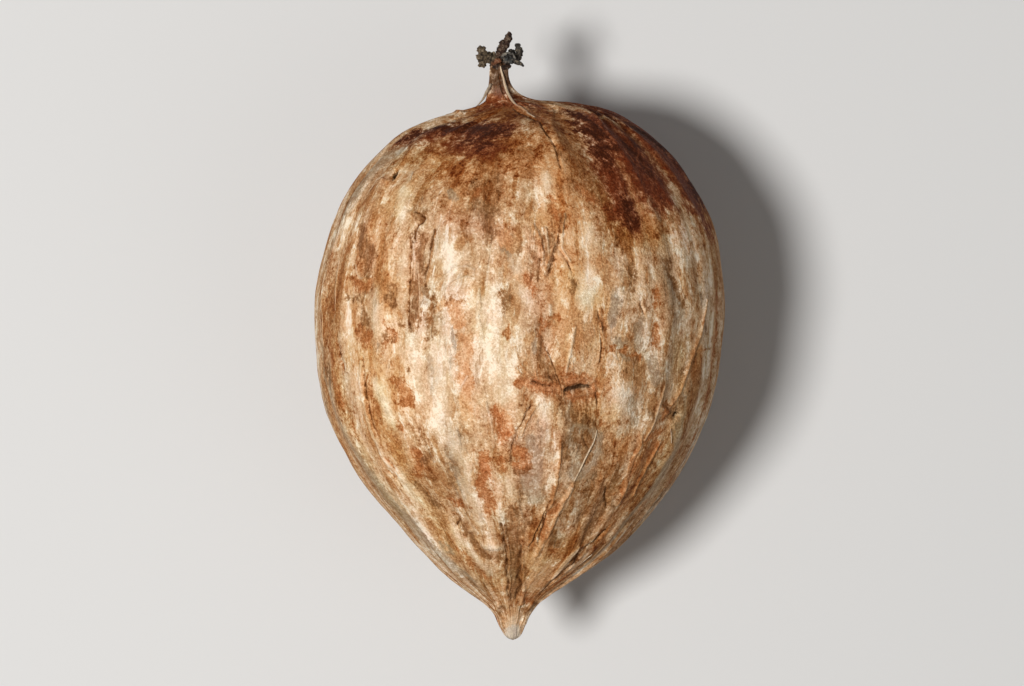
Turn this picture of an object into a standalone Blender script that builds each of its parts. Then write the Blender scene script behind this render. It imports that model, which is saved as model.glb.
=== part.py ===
"""A drop-shaped pecan in its shell, lying on its side.

The shell runs in one piece from the pointed tip to the neck. A withered stigma sits on the neck, and two
pale fibres have split off beside it. Units are metres and +Z is up. +Y runs along the nut, from the tip to
the stigma, and the origin is on the table, under the middle of the nut.
"""

import math

import bmesh
import bpy
import numpy as np
from mathutils import Euler, Matrix, Vector, noise

# The nut's own frame has its axis on Y and its angles measured from straight up, towards +X.
THICKNESS_SHARE = 0.95
REST_TILT = math.radians(3.0)
SPOT_DEPTH = 0.00014
GAP = 0.00003

# Each station of the shell is (along the axis, half width, sideways shift of the middle).
STATIONS = (
    (-0.01687, 0.00000, -0.00038),
    (-0.01675, 0.00033, -0.00038),
    (-0.01645, 0.00052, -0.00040),
    (-0.01575, 0.00080, -0.00040),
    (-0.01505, 0.00125, -0.00042),
    (-0.01445, 0.00198, -0.00048),
    (-0.01340, 0.00366, -0.00032),
    (-0.01200, 0.00538, -0.00010),
    (-0.01000, 0.00706, -0.00002),
    (-0.00700, 0.00933, -0.00010),
    (-0.00350, 0.01088, -0.00015),
    (0.00000, 0.01130, -0.00005),
    (0.00170, 0.01140, 0.00000),
    (0.00400, 0.01110, 0.00008),
    (0.00660, 0.01046, 0.00018),
    (0.00875, 0.00930, 0.00015),
    (0.01040, 0.00788, 0.00030),
    (0.01155, 0.00650, 0.00032),
    (0.01220, 0.00505, 0.00075),
    (0.01265, 0.00365, 0.00115),
    (0.01298, 0.00230, 0.00035),
    (0.01325, 0.00110, -0.00072),
    (0.01360, 0.00078, -0.00097),
    (0.01410, 0.00056, -0.00110),
    (0.01470, 0.00048, -0.00115),
    (0.01518, 0.00050, -0.00110),
    (0.01532, 0.00000, -0.00110),
)
STEPS_BETWEEN_STATIONS = 24

# The net of the shell: its rings draw together where the nut is slim.
SIDES = 72
RINGS = 64
FULL_STEP_RADIUS = 0.004
FINEST_STEP_SHARE = 0.22

# Four blunt ribs, which only show towards the two ends, and not on the neck or the tip
RIBS = 4
RIB_TURN = math.radians(12)
RIB_SHARE = 0.030
RIB_START, RIB_FULL = 0.0045, 0.0115
SLIM_RADIUS, STOUT_RADIUS = 0.0010, 0.0035

# Lengthwise wrinkles, broad lumps, and the flutes of the neck and the tip
WRINKLE_HEIGHT = 0.00011
WRINKLES_ROUND = 5.5
WRINKLES_ALONG = 95.0
SLIM_WRINKLE_SHARE = 0.3
LUMP_HEIGHT = 0.00012
LUMPS_PER_METRE = 260.0
FLUTES = 5
FLUTE_DEPTH = 0.00006
FLUTE_START, FLUTE_FULL = 0.0002, 0.0005
TIP_BUMP = (-0.00122, -0.01585, 0.0001)
TIP_BUMP_RADIUS = 0.00032
TIP_BUMP_HEIGHT = 0.00017

# A furrow is (points, half width, depth), and a ridge has a negative depth. Its points are (sideways, along)
# as seen from above. A turned furrow is one of them carried round to a side or the underside, by so many
# degrees.
FURROW_SPREAD = 2.0
FURROW_RUN_IN, FURROW_RUN_OUT = 0.15, 0.3
FURROWS_ABOVE = (
    # The valley and the hollow on either side of the rib that runs down from the neck
    (((0.0014, 0.0130), (0.0026, 0.0121), (0.0038, 0.0107), (0.0046, 0.0092), (0.0053, 0.0076)),
     0.0008, 0.00040),
    (((-0.0027, 0.0125), (-0.0032, 0.0113), (-0.0036, 0.0099)), 0.0009, 0.00022),
    (((-0.0003, 0.0128), (0.0008, 0.0118), (0.0018, 0.0104), (0.0022, 0.0088), (0.0020, 0.0068)),
     0.0008, -0.00016),
    # The sunken strips of skin, left and middle
    (((-0.0054, 0.0068), (-0.0055, 0.0049), (-0.0057, 0.0026), (-0.0058, 0.0001)), 0.0006, 0.00014),
    (((0.0016, 0.0068), (0.0015, 0.0043), (0.0014, 0.0021), (0.0014, -0.0024)), 0.0006, 0.00013),
    # The scar across the middle
    (((0.0000, -0.0027), (0.0022, -0.0028), (0.0041, -0.0026)), 0.00045, 0.00020),
    # The seam that runs down to the tip, and the fold to the right of it
    (((-0.0003, -0.0099), (-0.0004, -0.0124), (-0.0004, -0.0146)), 0.0005, 0.00018),
    (((0.0052, -0.0093), (0.0047, -0.0102), (0.0036, -0.0118), (0.0022, -0.0134)), 0.00045, 0.00022),
    (((0.0040, -0.0107), (0.0029, -0.0121), (0.0018, -0.0132)), 0.00045, -0.00018),
    # The folds that follow the outline on the lower left and the lower right
    (((-0.0088, 0.0035), (-0.0091, -0.0010), (-0.0079, -0.0060), (-0.0052, -0.0105)), 0.0005, 0.00012),
    (((-0.0025, -0.0112), (-0.0042, -0.0090), (-0.0056, -0.0066)), 0.0006, 0.00012),
    (((0.0100, -0.0028), (0.0092, -0.0058), (0.0076, -0.0084)), 0.0005, 0.00014),
    (((0.0061, -0.0055), (0.0059, -0.0068), (0.0050, -0.0092)), 0.0005, -0.00014),
)
TURNED_FURROWS = (
    (0, 96), (1, 180), (2, 185), (3, 128), (4, 205), (4, 262),
    (6, 92), (6, 183), (7, 230), (8, 205), (9, 205), (10, 150),
)

# The withered stigma: its middle, then each lobe as (root, tip, width, thickness).
STIGMA_MIDDLE = (-0.00084, 0.01547, 0.0)
STIGMA_HALF_SIZES = (0.00052, 0.00032, 0.00050)
STIGMA_SIDES, STIGMA_RINGS = 16, 10
STIGMA_LOBES = (
    ((-0.00105, 0.01543, 0.00000), (-0.00238, 0.01590, 0.00015), 0.00080, 0.00052),
    ((-0.00170, 0.01568, 0.00008), (-0.00213, 0.01482, 0.00022), 0.00058, 0.00042),
    ((-0.00098, 0.01535, -0.00005), (-0.00060, 0.01692, -0.00022), 0.00080, 0.00056),
    ((-0.00105, 0.01555, 0.00000), (-0.00140, 0.01640, 0.00010), 0.00052, 0.00042),
    ((-0.00052, 0.01540, -0.00010), (-0.00004, 0.01628, -0.00005), 0.00044, 0.00036),
    ((-0.00070, 0.01552, 0.00005), (0.00022, 0.01488, 0.00012), 0.00034, 0.00026),
    ((-0.00082, 0.01540, 0.00012), (-0.00040, 0.01572, 0.00080), 0.00078, 0.00040),
    ((-0.00090, 0.01540, -0.00015), (-0.00118, 0.01600, -0.00095), 0.00070, 0.00040),
)
LOBE_SIDES, LOBE_RINGS = 12, 9
LOBE_CURL = 0.18
SHRIVEL_SHARE = 0.22
SHRIVELS_PER_METRE = 3200.0
NECK_CLEARANCE_RADIUS, NECK_CLEARANCE_SIDES = 0.00062, 24
NECK_CLEARANCE_FROM, NECK_CLEARANCE_TO = 0.0138, 0.01535

# The right fibre lies on the shell, as (sideways, along, radius), and the left one stands free of it, as
# (sideways, along, height, radius).
RIGHT_FIBRE = (
    (-0.00104, 0.01492, 0.00004),
    (-0.00092, 0.01441, 0.00007),
    (-0.00077, 0.01382, 0.00009),
    (-0.00056, 0.01336, 0.00010),
    (-0.00022, 0.01293, 0.00007),
    (0.00021, 0.01269, 0.00004),
)
LEFT_FIBRE = (
    (-0.00160, 0.01409, 0.00054, 0.00007),
    (-0.00181, 0.01367, 0.00050, 0.00010),
    (-0.00203, 0.01325, 0.00035, 0.00007),
    (-0.00223, 0.01300, 0.00022, 0.00005),
    (-0.00242, 0.01282, 0.00012, 0.00003),
)
FIBRE_STEPS = 4

MATERIALS = {
    "shell": ((0.47, 0.30, 0.16), 0.55),
    "dried_stigma": ((0.09, 0.06, 0.04), 0.85),
    "fibre": ((0.66, 0.49, 0.30), 0.60),
}


def smooth_line(points, steps):
    """A centripetal Catmull-Rom line through the points, which may have any number of coordinates."""
    points = np.array(points, float)
    padded = np.vstack((2 * points[0] - points[1], points, 2 * points[-1] - points[-2]))
    line = []
    for p0, p1, p2, p3 in zip(padded, padded[1:], padded[2:], padded[3:]):
        t0 = 0.0
        t1 = t0 + math.sqrt(np.linalg.norm(p1 - p0))
        t2 = t1 + math.sqrt(np.linalg.norm(p2 - p1))
        t3 = t2 + math.sqrt(np.linalg.norm(p3 - p2))
        for step in range(steps):
            t = t1 + (t2 - t1) * step / steps
            a1 = (p0 * (t1 - t) + p1 * (t - t0)) / (t1 - t0)
            a2 = (p1 * (t2 - t) + p2 * (t - t1)) / (t2 - t1)
            a3 = (p2 * (t3 - t) + p3 * (t - t2)) / (t3 - t2)
            b1 = (a1 * (t2 - t) + a2 * (t - t0)) / (t2 - t0)
            b2 = (a2 * (t3 - t) + a3 * (t - t1)) / (t3 - t1)
            line.append((b1 * (t2 - t) + b2 * (t - t1)) / (t2 - t1))
    line.append(points[-1])
    return np.array(line)


OUTLINE = smooth_line(STATIONS, STEPS_BETWEEN_STATIONS)
OUTLINE[:, 1] = OUTLINE[:, 1].clip(min=0)


def half_width(along):
    return float(np.interp(along, OUTLINE[:, 0], OUTLINE[:, 1]))


def middle(along):
    return float(np.interp(along, OUTLINE[:, 0], OUTLINE[:, 2]))


def fade(value, start, full):
    """Rises smoothly from 0 at start to 1 at full."""
    share = min(max((value - start) / (full - start), 0.0), 1.0)
    return share * share * (3 - 2 * share)


def shell_point(angle, along):
    """The smooth shell, before its wrinkles, at an angle from straight up and a place along the axis."""
    width = half_width(along)
    stout = fade(width, SLIM_RADIUS, STOUT_RADIUS)
    ribs = RIB_SHARE * fade(abs(along), RIB_START, RIB_FULL) * stout
    at_the_side = math.cos(RIBS * (math.pi / 2 - RIB_TURN))
    width *= 1 + ribs * (math.cos(RIBS * (angle - RIB_TURN)) - at_the_side)
    height = width * (1 - (1 - THICKNESS_SHARE) * stout)
    return Vector((middle(along) + width * math.sin(angle), along, height * math.cos(angle)))


def ring_places():
    """Where the rings of the net lie along the axis: closer together where the nut is slim."""
    lengths = np.linalg.norm(np.diff(OUTLINE[:, :2], axis=0), axis=1)
    radii = (OUTLINE[1:, 1] + OUTLINE[:-1, 1]) / 2
    steps = FINEST_STEP_SHARE + (1 - FINEST_STEP_SHARE) * np.minimum(1, radii / FULL_STEP_RADIUS)
    travelled = np.concatenate(([0], np.cumsum(lengths / steps)))
    return np.interp(np.linspace(0, travelled[-1], RINGS + 1), travelled, OUTLINE[:, 0])


def angle_seen_at(sideways, along):
    """The angle of the shell's upper side at a point that is seen from above."""
    share = (sideways - middle(along)) / half_width(along)
    return math.asin(min(max(share, -1.0), 1.0))


def all_furrows():
    """Every furrow as (3D points, half width, depth), in the nut's own frame."""
    turned = [(furrow, 0.0) for furrow in FURROWS_ABOVE]
    turned += [(FURROWS_ABOVE[index], math.radians(degrees)) for index, degrees in TURNED_FURROWS]
    return [
        ([shell_point(angle_seen_at(x, y) + turn, y) for x, y in points], width, depth)
        for (points, width, depth), turn in turned
    ]


def distance_to_line(point, line):
    """How far a point is from a line of points, and where along the line, from 0 to 1, it is nearest."""
    nearest, place = math.inf, 0.0
    for index, (start, end) in enumerate(zip(line, line[1:])):
        step = end - start
        share = min(max((point - start).dot(step) / step.length_squared, 0.0), 1.0)
        distance = (point - start - step * share).length
        if distance < nearest:
            nearest, place = distance, (index + share) / (len(line) - 1)
    return nearest, place


def relief(point, furrows):
    """How far the real surface stands out from the smooth one at this point of it."""
    along = point.y
    width = half_width(along)
    stout = fade(width, SLIM_RADIUS, STOUT_RADIUS)
    angle = math.atan2(point.x - middle(along), point.z)
    grain = Vector((math.sin(angle), math.cos(angle), 0)) * WRINKLES_ROUND
    grain.z = along * WRINKLES_ALONG
    height = WRINKLE_HEIGHT * noise.noise(grain) * (SLIM_WRINKLE_SHARE + (1 - SLIM_WRINKLE_SHARE) * stout)
    height += LUMP_HEIGHT * noise.noise(point * LUMPS_PER_METRE) * stout
    height += FLUTE_DEPTH * math.cos(FLUTES * angle) * (1 - stout) * fade(width, FLUTE_START, FLUTE_FULL)
    from_bump = (point - Vector(TIP_BUMP)).length
    height += TIP_BUMP_HEIGHT * fade(from_bump, TIP_BUMP_RADIUS, 0.0)
    for line, reach, depth in furrows:
        distance, place = distance_to_line(point, line)
        ends = fade(place, 0.0, FURROW_RUN_IN) * fade(place, 1.0, 1 - FURROW_RUN_OUT)
        height -= depth * ends * fade(distance, FURROW_SPREAD * reach, 0.0)
    return height


def new_object(name, mesh, material, collection):
    made = bpy.data.objects.new(name, mesh)
    collection.objects.link(made)
    mesh.materials.append(material)
    mesh.shade_smooth()
    return made


def make_shell(material, collection, carrier):
    """A sphere drawn out to the stations, wrinkled along its normals and pressed flat on the table."""
    net = bmesh.new()
    bmesh.ops.create_uvsphere(net, u_segments=SIDES, v_segments=RINGS, radius=1)
    places = ring_places()
    for vertex in net.verts:
        ring = round(math.acos(min(max(-vertex.co.z, -1.0), 1.0)) / math.pi * RINGS)
        vertex.co = shell_point(math.atan2(vertex.co.x, vertex.co.y), places[ring])
    bmesh.ops.reverse_faces(net, faces=net.faces)
    net.normal_update()
    furrows = all_furrows()
    moves = [vertex.normal * relief(vertex.co, furrows) for vertex in net.verts]
    for vertex, move in zip(net.verts, moves):
        vertex.co += move
    tilt = Euler((REST_TILT, 0, 0)).to_matrix()
    carrier.location.z = -min((tilt @ vertex.co).z for vertex in net.verts) - SPOT_DEPTH
    for vertex in net.verts:
        placed = tilt @ vertex.co
        placed.z = max(placed.z, -carrier.location.z)
        vertex.co = tilt.inverted() @ placed
    mesh = bpy.data.meshes.new("shell")
    net.to_mesh(mesh)
    net.free()
    shell = new_object("shell", mesh, material, collection)
    shell.parent = carrier
    return shell


def stigma_lobe(name, root, tip, width, thickness, collection):
    """One shrivelled lobe: a ball drawn out from its root to its tip, curled, with a wrinkled surface."""
    root, tip = Vector(root), Vector(tip)
    length = (tip - root).length
    ball = bmesh.new()
    bmesh.ops.create_uvsphere(ball, u_segments=LOBE_SIDES, v_segments=LOBE_RINGS, radius=0.5)
    for vertex in ball.verts:
        along = vertex.co.z + 0.5
        bend = LOBE_CURL * length * (along * along - along)
        vertex.co = Vector((vertex.co.x * width, vertex.co.y * thickness + bend, along * length))
    ball.transform(Matrix.Translation(root) @ (tip - root).to_track_quat("Z", "Y").to_matrix().to_4x4())
    bmesh.ops.recalc_face_normals(ball, faces=ball.faces)
    ball.normal_update()
    for vertex in ball.verts:
        shrivel = noise.noise(vertex.co * SHRIVELS_PER_METRE)
        vertex.co += vertex.normal * (SHRIVEL_SHARE * thickness * shrivel)
    mesh = bpy.data.meshes.new(name)
    ball.to_mesh(mesh)
    ball.free()
    lobe = bpy.data.objects.new(name, mesh)
    collection.objects.link(lobe)
    return lobe


def make_neck_cutter(collection):
    """The room that the neck takes inside the stigma."""
    length = NECK_CLEARANCE_TO - NECK_CLEARANCE_FROM
    bpy.ops.mesh.primitive_cylinder_add(
        vertices=NECK_CLEARANCE_SIDES,
        radius=NECK_CLEARANCE_RADIUS,
        depth=length,
        location=(middle(NECK_CLEARANCE_TO), NECK_CLEARANCE_FROM + length / 2, 0),
        rotation=(math.pi / 2, 0, 0),
    )
    cutter = bpy.context.object
    cutter.name = "neck_room"
    cutter.hide_render = True
    cutter.display_type = "WIRE"
    for owner in cutter.users_collection:
        owner.objects.unlink(cutter)
    collection.objects.link(cutter)
    return cutter


def make_stigma(material, collection, cutters, carrier):
    """The stigma's middle and its lobes, joined as one body and cut clear of the neck."""
    lobes = bpy.data.collections.new("stigma_lobes")
    bpy.context.scene.collection.children.link(lobes)
    bpy.ops.mesh.primitive_uv_sphere_add(
        segments=STIGMA_SIDES,
        ring_count=STIGMA_RINGS,
        location=STIGMA_MIDDLE,
    )
    stigma = bpy.context.object
    stigma.scale = STIGMA_HALF_SIZES
    bpy.ops.object.transform_apply(location=True, rotation=True, scale=True)
    for number, (root, tip, width, thickness) in enumerate(STIGMA_LOBES):
        stigma_lobe(f"lobe_{number}", root, tip, width, thickness, lobes)
    joined = stigma.modifiers.new("join the lobes", "BOOLEAN")
    joined.operation = "UNION"
    joined.operand_type = "COLLECTION"
    joined.collection = lobes
    cut = stigma.modifiers.new("clear the neck", "BOOLEAN")
    cut.operation = "DIFFERENCE"
    cut.object = make_neck_cutter(cutters)
    mesh = bpy.data.meshes.new_from_object(stigma.evaluated_get(bpy.context.evaluated_depsgraph_get()))
    for leftover in (stigma, *lobes.objects, cut.object):
        bpy.data.objects.remove(leftover)
    bpy.data.collections.remove(lobes)
    made = new_object("dried_stigma", mesh, material, collection)
    made.parent = carrier
    return made


def fibre_on_shell(sideways, along, radius):
    """A point of a fibre that lies against the upper side of the shell."""
    highest_relief = FLUTE_DEPTH if half_width(along) < STOUT_RADIUS else WRINKLE_HEIGHT + LUMP_HEIGHT
    place = shell_point(angle_seen_at(sideways, along), along)
    step = 0.0001
    slope = (half_width(along + step) - half_width(along - step)) / (2 * step)
    outward = Vector((place.x - middle(along), 0, place.z)).normalized()
    outward = Vector((outward.x, -slope, outward.z)).normalized()
    return place + outward * (radius + highest_relief + GAP)


def make_fibre(name, route, material, collection, carrier):
    """A tapering fibre through a route of (point, radius)."""
    curve = bpy.data.curves.new(name, "CURVE")
    curve.dimensions = "3D"
    curve.bevel_depth = 1.0
    curve.bevel_resolution = 2
    curve.use_fill_caps = True
    line = smooth_line([(*point, radius) for point, radius in route], FIBRE_STEPS)
    spline = curve.splines.new("POLY")
    spline.points.add(len(line) - 1)
    for point, (x, y, z, radius) in zip(spline.points, line):
        point.co = (x, y, z, 1)
        point.radius = radius
    curve.materials.append(material)
    fibre = bpy.data.objects.new(name, curve)
    collection.objects.link(fibre)
    fibre.parent = carrier
    return fibre


def make_material(name):
    colour, roughness = MATERIALS[name]
    material = bpy.data.materials.new(name)
    material.use_nodes = True
    surface = material.node_tree.nodes["Principled BSDF"]
    surface.inputs["Base Color"].default_value = (*colour, 1)
    surface.inputs["Roughness"].default_value = roughness
    surface.inputs["Metallic"].default_value = 0
    material.diffuse_color = (*colour, 1)
    return material


def new_collection(name):
    made = bpy.data.collections.new(name)
    bpy.context.scene.collection.children.link(made)
    return made


def main():
    for old in list(bpy.data.objects):
        bpy.data.objects.remove(old)
    pecan = new_collection("pecan_in_shell")
    cutters = new_collection("cutters")
    carrier = bpy.data.objects.new("nut_axis", None)
    carrier.rotation_euler.x = REST_TILT
    pecan.objects.link(carrier)
    finishes = {name: make_material(name) for name in MATERIALS}

    make_shell(finishes["shell"], pecan, carrier)
    make_stigma(finishes["dried_stigma"], pecan, cutters, carrier)
    right = [(fibre_on_shell(x, y, radius), radius) for x, y, radius in RIGHT_FIBRE]
    left = [(Vector((x, y, z)), radius) for x, y, z, radius in LEFT_FIBRE]
    make_fibre("fibre_right", right, finishes["fibre"], pecan, carrier)
    make_fibre("fibre_left", left, finishes["fibre"], pecan, carrier)


main()
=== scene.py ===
"""The looks of a pecan in its shell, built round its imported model.

The nut lies on its side, so the camera looks straight down on it. Sizes are in metres unless a
name says otherwise. The marks on the shell are brush strokes of (x, y, half width), in pixels of
the photograph, and each one is laid on the shell where the camera sees that pixel.
"""

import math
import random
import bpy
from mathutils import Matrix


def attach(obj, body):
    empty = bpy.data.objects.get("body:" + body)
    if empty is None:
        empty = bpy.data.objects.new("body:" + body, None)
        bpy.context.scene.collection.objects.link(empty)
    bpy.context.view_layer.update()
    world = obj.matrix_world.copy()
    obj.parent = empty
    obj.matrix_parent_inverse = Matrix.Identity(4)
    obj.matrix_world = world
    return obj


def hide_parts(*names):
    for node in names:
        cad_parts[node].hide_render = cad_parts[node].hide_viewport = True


bl_info = {
    "name": "Pecan in Shell",
    "version": (1, 0, 0),
    "blender": (4, 5, 0),
    "location": "View3D > Sidebar > Pecan",
    "description": "Dresses the packed nut with its weathered shell, withered stigma and split fibres",
    "category": "Object",
}

import bmesh
import bpy
import numpy as np
from bpy.props import FloatProperty, FloatVectorProperty, IntProperty, PointerProperty
from mathutils import Euler, Matrix, Vector, noise
from mathutils.bvhtree import BVHTree

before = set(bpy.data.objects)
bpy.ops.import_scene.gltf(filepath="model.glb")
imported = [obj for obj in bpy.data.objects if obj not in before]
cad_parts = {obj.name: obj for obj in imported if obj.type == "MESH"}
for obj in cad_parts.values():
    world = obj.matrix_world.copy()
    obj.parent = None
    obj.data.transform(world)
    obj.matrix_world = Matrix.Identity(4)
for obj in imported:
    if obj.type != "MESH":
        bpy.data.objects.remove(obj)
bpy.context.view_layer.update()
MM = 0.001

# How strongly tannin and flush hold back red, green and blue light. Soot holds all three back alike
TANNIN_SHARES = (1.0, 2.2, 3.6)
FLUSH_SHARES = (-0.44, 0.81, -0.38)
LEAST_TANNIN = 0.18
LEAST_SOOT = -0.12
SOOT_EVERYWHERE = 0.10

# How far the noise of one seed lies from that of the next
SEED_STEP = (7.3, 3.1, 5.7)

# The floor reaches this far from the middle, and the lights are aimed at the middle
FLOOR_REACH = 0.6
KEY_LIGHT_PLACE = (-0.128, -0.022, 0.34)
KEY_LIGHT_SIZE = 0.08
FILL_LIGHT_PLACE = (0.22, -0.12, 0.30)
FILL_LIGHT_SIZE = 0.25

# The wrinkles along the grey fibre at the left of the neck, and how much darker than pale it is
WRINKLE_HEIGHT = 0.00002
WRINKLE_SIZE = (0.00006, 0.0006, 0.00006)
GREY_FIBRE_SHADE = 0.5

# The photograph, and the size of one of its pixels at the height of the nut's axis
PHOTO_WIDTH, PHOTO_HEIGHT = 1024, 686
PIXEL = 0.0000556
NUT_MIDDLE_PIXEL = (519.75, 337.5)

# Thin dark splits in the shell
CRACKS = (
    ((514, 108, 0.6), (522, 113, 0.7), (530, 117, 0.7), (539.5, 119.5, 0.6)),
    ((497.5, 70, 0.8), (500.5, 80, 0.9), (503, 90, 0.8), (507, 99, 0.5)),
    ((539.5, 119.5, 0.5), (545, 128.7, 0.8), (550, 136.7, 1.0), (556, 146, 1.1), (558, 157, 0.9),
     (561, 168, 0.5)),
    ((415, 211, 0.7), (420.4, 214.4, 1.0), (423.5, 218, 1.0), (421.5, 221, 1.0), (417, 223.5, 1.0),
     (414.8, 229.5, 1.2), (414.8, 237.5, 1.1), (415.3, 241, 0.6)),
    ((410, 232, 0.5), (410.6, 244, 0.7), (412.3, 254.6, 0.8), (410.6, 267, 0.9), (409.5, 283, 0.7),
     (409, 295, 0.7), (409, 313, 0.7), (409.5, 330, 0.4)),
    ((434, 229.5, 1.6), (431.8, 239.7, 1.5), (429.5, 251, 1.2), (428.4, 262.7, 0.9), (425, 272, 0.7),
     (424.4, 280, 0.6), (426, 289, 0.4)),
    ((540.8, 257, 0.8), (540.3, 266, 1.1), (540.2, 275, 0.7)),
    ((555, 257, 0.6), (551, 266.7, 0.8), (549, 275, 0.9)),
    ((563, 213, 0.4), (559.5, 231, 0.6), (558.5, 248, 0.6), (567.5, 261.6, 0.6), (572.5, 273, 0.4)),
    ((562.9, 402, 0.4), (561.6, 389, 0.6), (555.2, 371, 0.5), (549, 352, 0.3)),
    ((520.8, 547, 0.8), (519.7, 556.7, 1.1), (519.9, 567.6, 1.2), (517.6, 578.4, 1.3), (520.8, 585, 1.3),
     (518, 591.4, 0.9), (515.9, 599, 0.5)),
    ((500.7, 524, 0.8), (504, 537, 0.8), (506, 554.6, 0.7), (507.2, 567.6, 0.7), (508.3, 584, 0.6),
     (508, 596, 0.4)),
    ((551, 500, 0.3), (544, 516, 0.5), (537.5, 531, 0.6), (531, 546, 0.4)),
    ((548, 514, 0.3), (544.5, 524, 0.5), (539, 541.6, 0.5)),
    ((605.9, 530.7, 1.5), (594, 540.5, 1.5), (581, 552.4, 1.8), (574.4, 563, 1.8), (562.5, 574, 1.2),
     (550.6, 583.8, 0.9), (540.8, 593.6, 0.7)),
    ((607, 490, 0.6), (606, 501.4, 1.0), (608, 508, 0.5)),
    ((600.8, 328, 0.6), (601.5, 345, 0.9), (600.5, 362, 0.6)),
    ((597, 393, 0.5), (598.6, 405, 0.7)),
    ((598, 309, 0.5), (601, 318, 1.0), (604, 325, 1.0), (603, 332, 0.5)),
    ((642, 304, 0.5), (645, 314, 0.6)),
    ((550, 378, 0.5), (553.5, 382, 0.7), (553, 387, 0.5)),
    ((536, 382.5, 0.5), (545, 385.5, 0.8), (553, 386, 0.5)),
    ((558, 394, 0.5), (562, 399, 0.8), (560, 404, 0.5)),
    ((531, 404, 0.4), (526, 416.7, 0.8), (517, 431, 0.9), (513, 445, 0.8), (510.6, 463, 0.5)),
    ((583, 436, 0.5), (587, 446, 0.8), (592, 452, 0.5)),
    ((452, 512, 0.4), (458, 515, 0.5), (460, 522, 0.5), (456, 527, 0.4)),
    ((363, 356, 0.5), (364.5, 372.4, 0.9), (366.5, 398, 1.0), (371.5, 420, 0.8), (378, 438, 0.5)),
    ((388, 470, 0.5), (396, 478, 0.8), (402, 487, 0.5)),
    ((336, 330, 0.5), (339, 352, 0.7), (343, 372, 0.5)),
)

# The deepest part of the scar, and small pits
PITS = (
    ((565, 390.5, 0.8), (569, 389, 1.5), (575, 388, 2.3), (583, 387, 2.0), (588, 386.5, 1.2),
     (592, 387, 0.6)),
    ((392, 178, 1.6), (394.5, 173, 2.4), (396, 171, 1.2)),
    ((540.5, 422.5, 0.8), (540.7, 422.7, 0.8)),
    ((408.9, 207.5, 0.9), (409.1, 207.7, 0.9)),
    ((678, 415, 2.2), (681, 414, 1.4)),
    ((533, 382, 0.6), (536, 383, 0.6)),
    ((577, 557, 1.0), (573, 563, 1.4)),
)

# Thin raised fibres and pale edges
PALE_LINES = (
    ((516, 105, 1.4), (523.8, 109.3, 1.3), (528.5, 112.8, 1.1), (534, 116.6, 0.9)),
    ((479.5, 289, 1.0), (479, 301.7, 1.7), (477.5, 318, 1.9), (480.5, 329, 1.3)),
    ((575.6, 327, 0.8), (571.8, 345, 1.3), (568, 363, 1.1), (566, 372, 0.7)),
    ((565, 214, 0.5), (562.3, 231, 0.8), (561.3, 248, 0.6), (570, 262, 0.5)),
    ((550, 306, 1.8), (549.5, 315, 1.4)),
    ((467, 377, 0.5), (456, 396, 0.8)),
    ((486, 402, 0.7), (488.5, 413, 0.8), (492, 428, 0.8), (494, 440, 0.8), (493, 448, 0.5)),
    ((664.3, 386.4, 0.9), (659, 403.7, 1.3), (652.4, 423, 1.3), (643.7, 438.4, 1.4)),
    ((578.8, 549, 2.2), (570, 556.7, 3.0), (561.4, 567.6, 2.8), (552.7, 578.4, 1.8)),
    ((362, 362, 1.2), (361, 382, 1.8), (363.3, 398, 2.1), (368.2, 420, 2.0), (375.5, 439, 2.0),
     (382.7, 456, 2.0),
     (394.8, 470.6, 2.0), (405.8, 482.7, 1.6)),
    ((357, 266, 0.5), (359, 275, 0.7), (361, 278.7, 0.9), (364.7, 277.6, 0.8), (367.6, 273, 0.5)),
    ((437, 287, 0.6), (445, 276, 0.9), (455, 268, 1.0), (466, 266, 0.9), (474, 270, 0.6)),
    ((446, 290, 0.6), (455, 281, 0.9), (465, 277, 0.9), (473, 278, 0.5)),
    ((407.5, 184, 0.7), (410, 178, 1.0), (412, 173, 0.7)),
    ((455, 116.5, 1.4), (460, 113.5, 1.2)),
    ((545, 228, 0.6), (547.5, 242, 0.8), (549, 256, 0.5)),
    ((414, 244, 0.6), (415.5, 262, 0.8), (414, 280, 0.6)),
    ((418, 262, 0.5), (419.5, 290, 0.7), (420, 315, 0.5)),
    ((328, 250, 0.6), (322.5, 285, 1.0), (321.5, 315, 1.2), (323, 345, 1.0)),
    ((348, 215, 0.7), (341, 245, 1.0), (336, 280, 1.1), (335, 310, 0.8)),
    ((497, 612, 0.7), (501, 618, 0.9), (503, 625, 0.6)),
)

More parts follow.
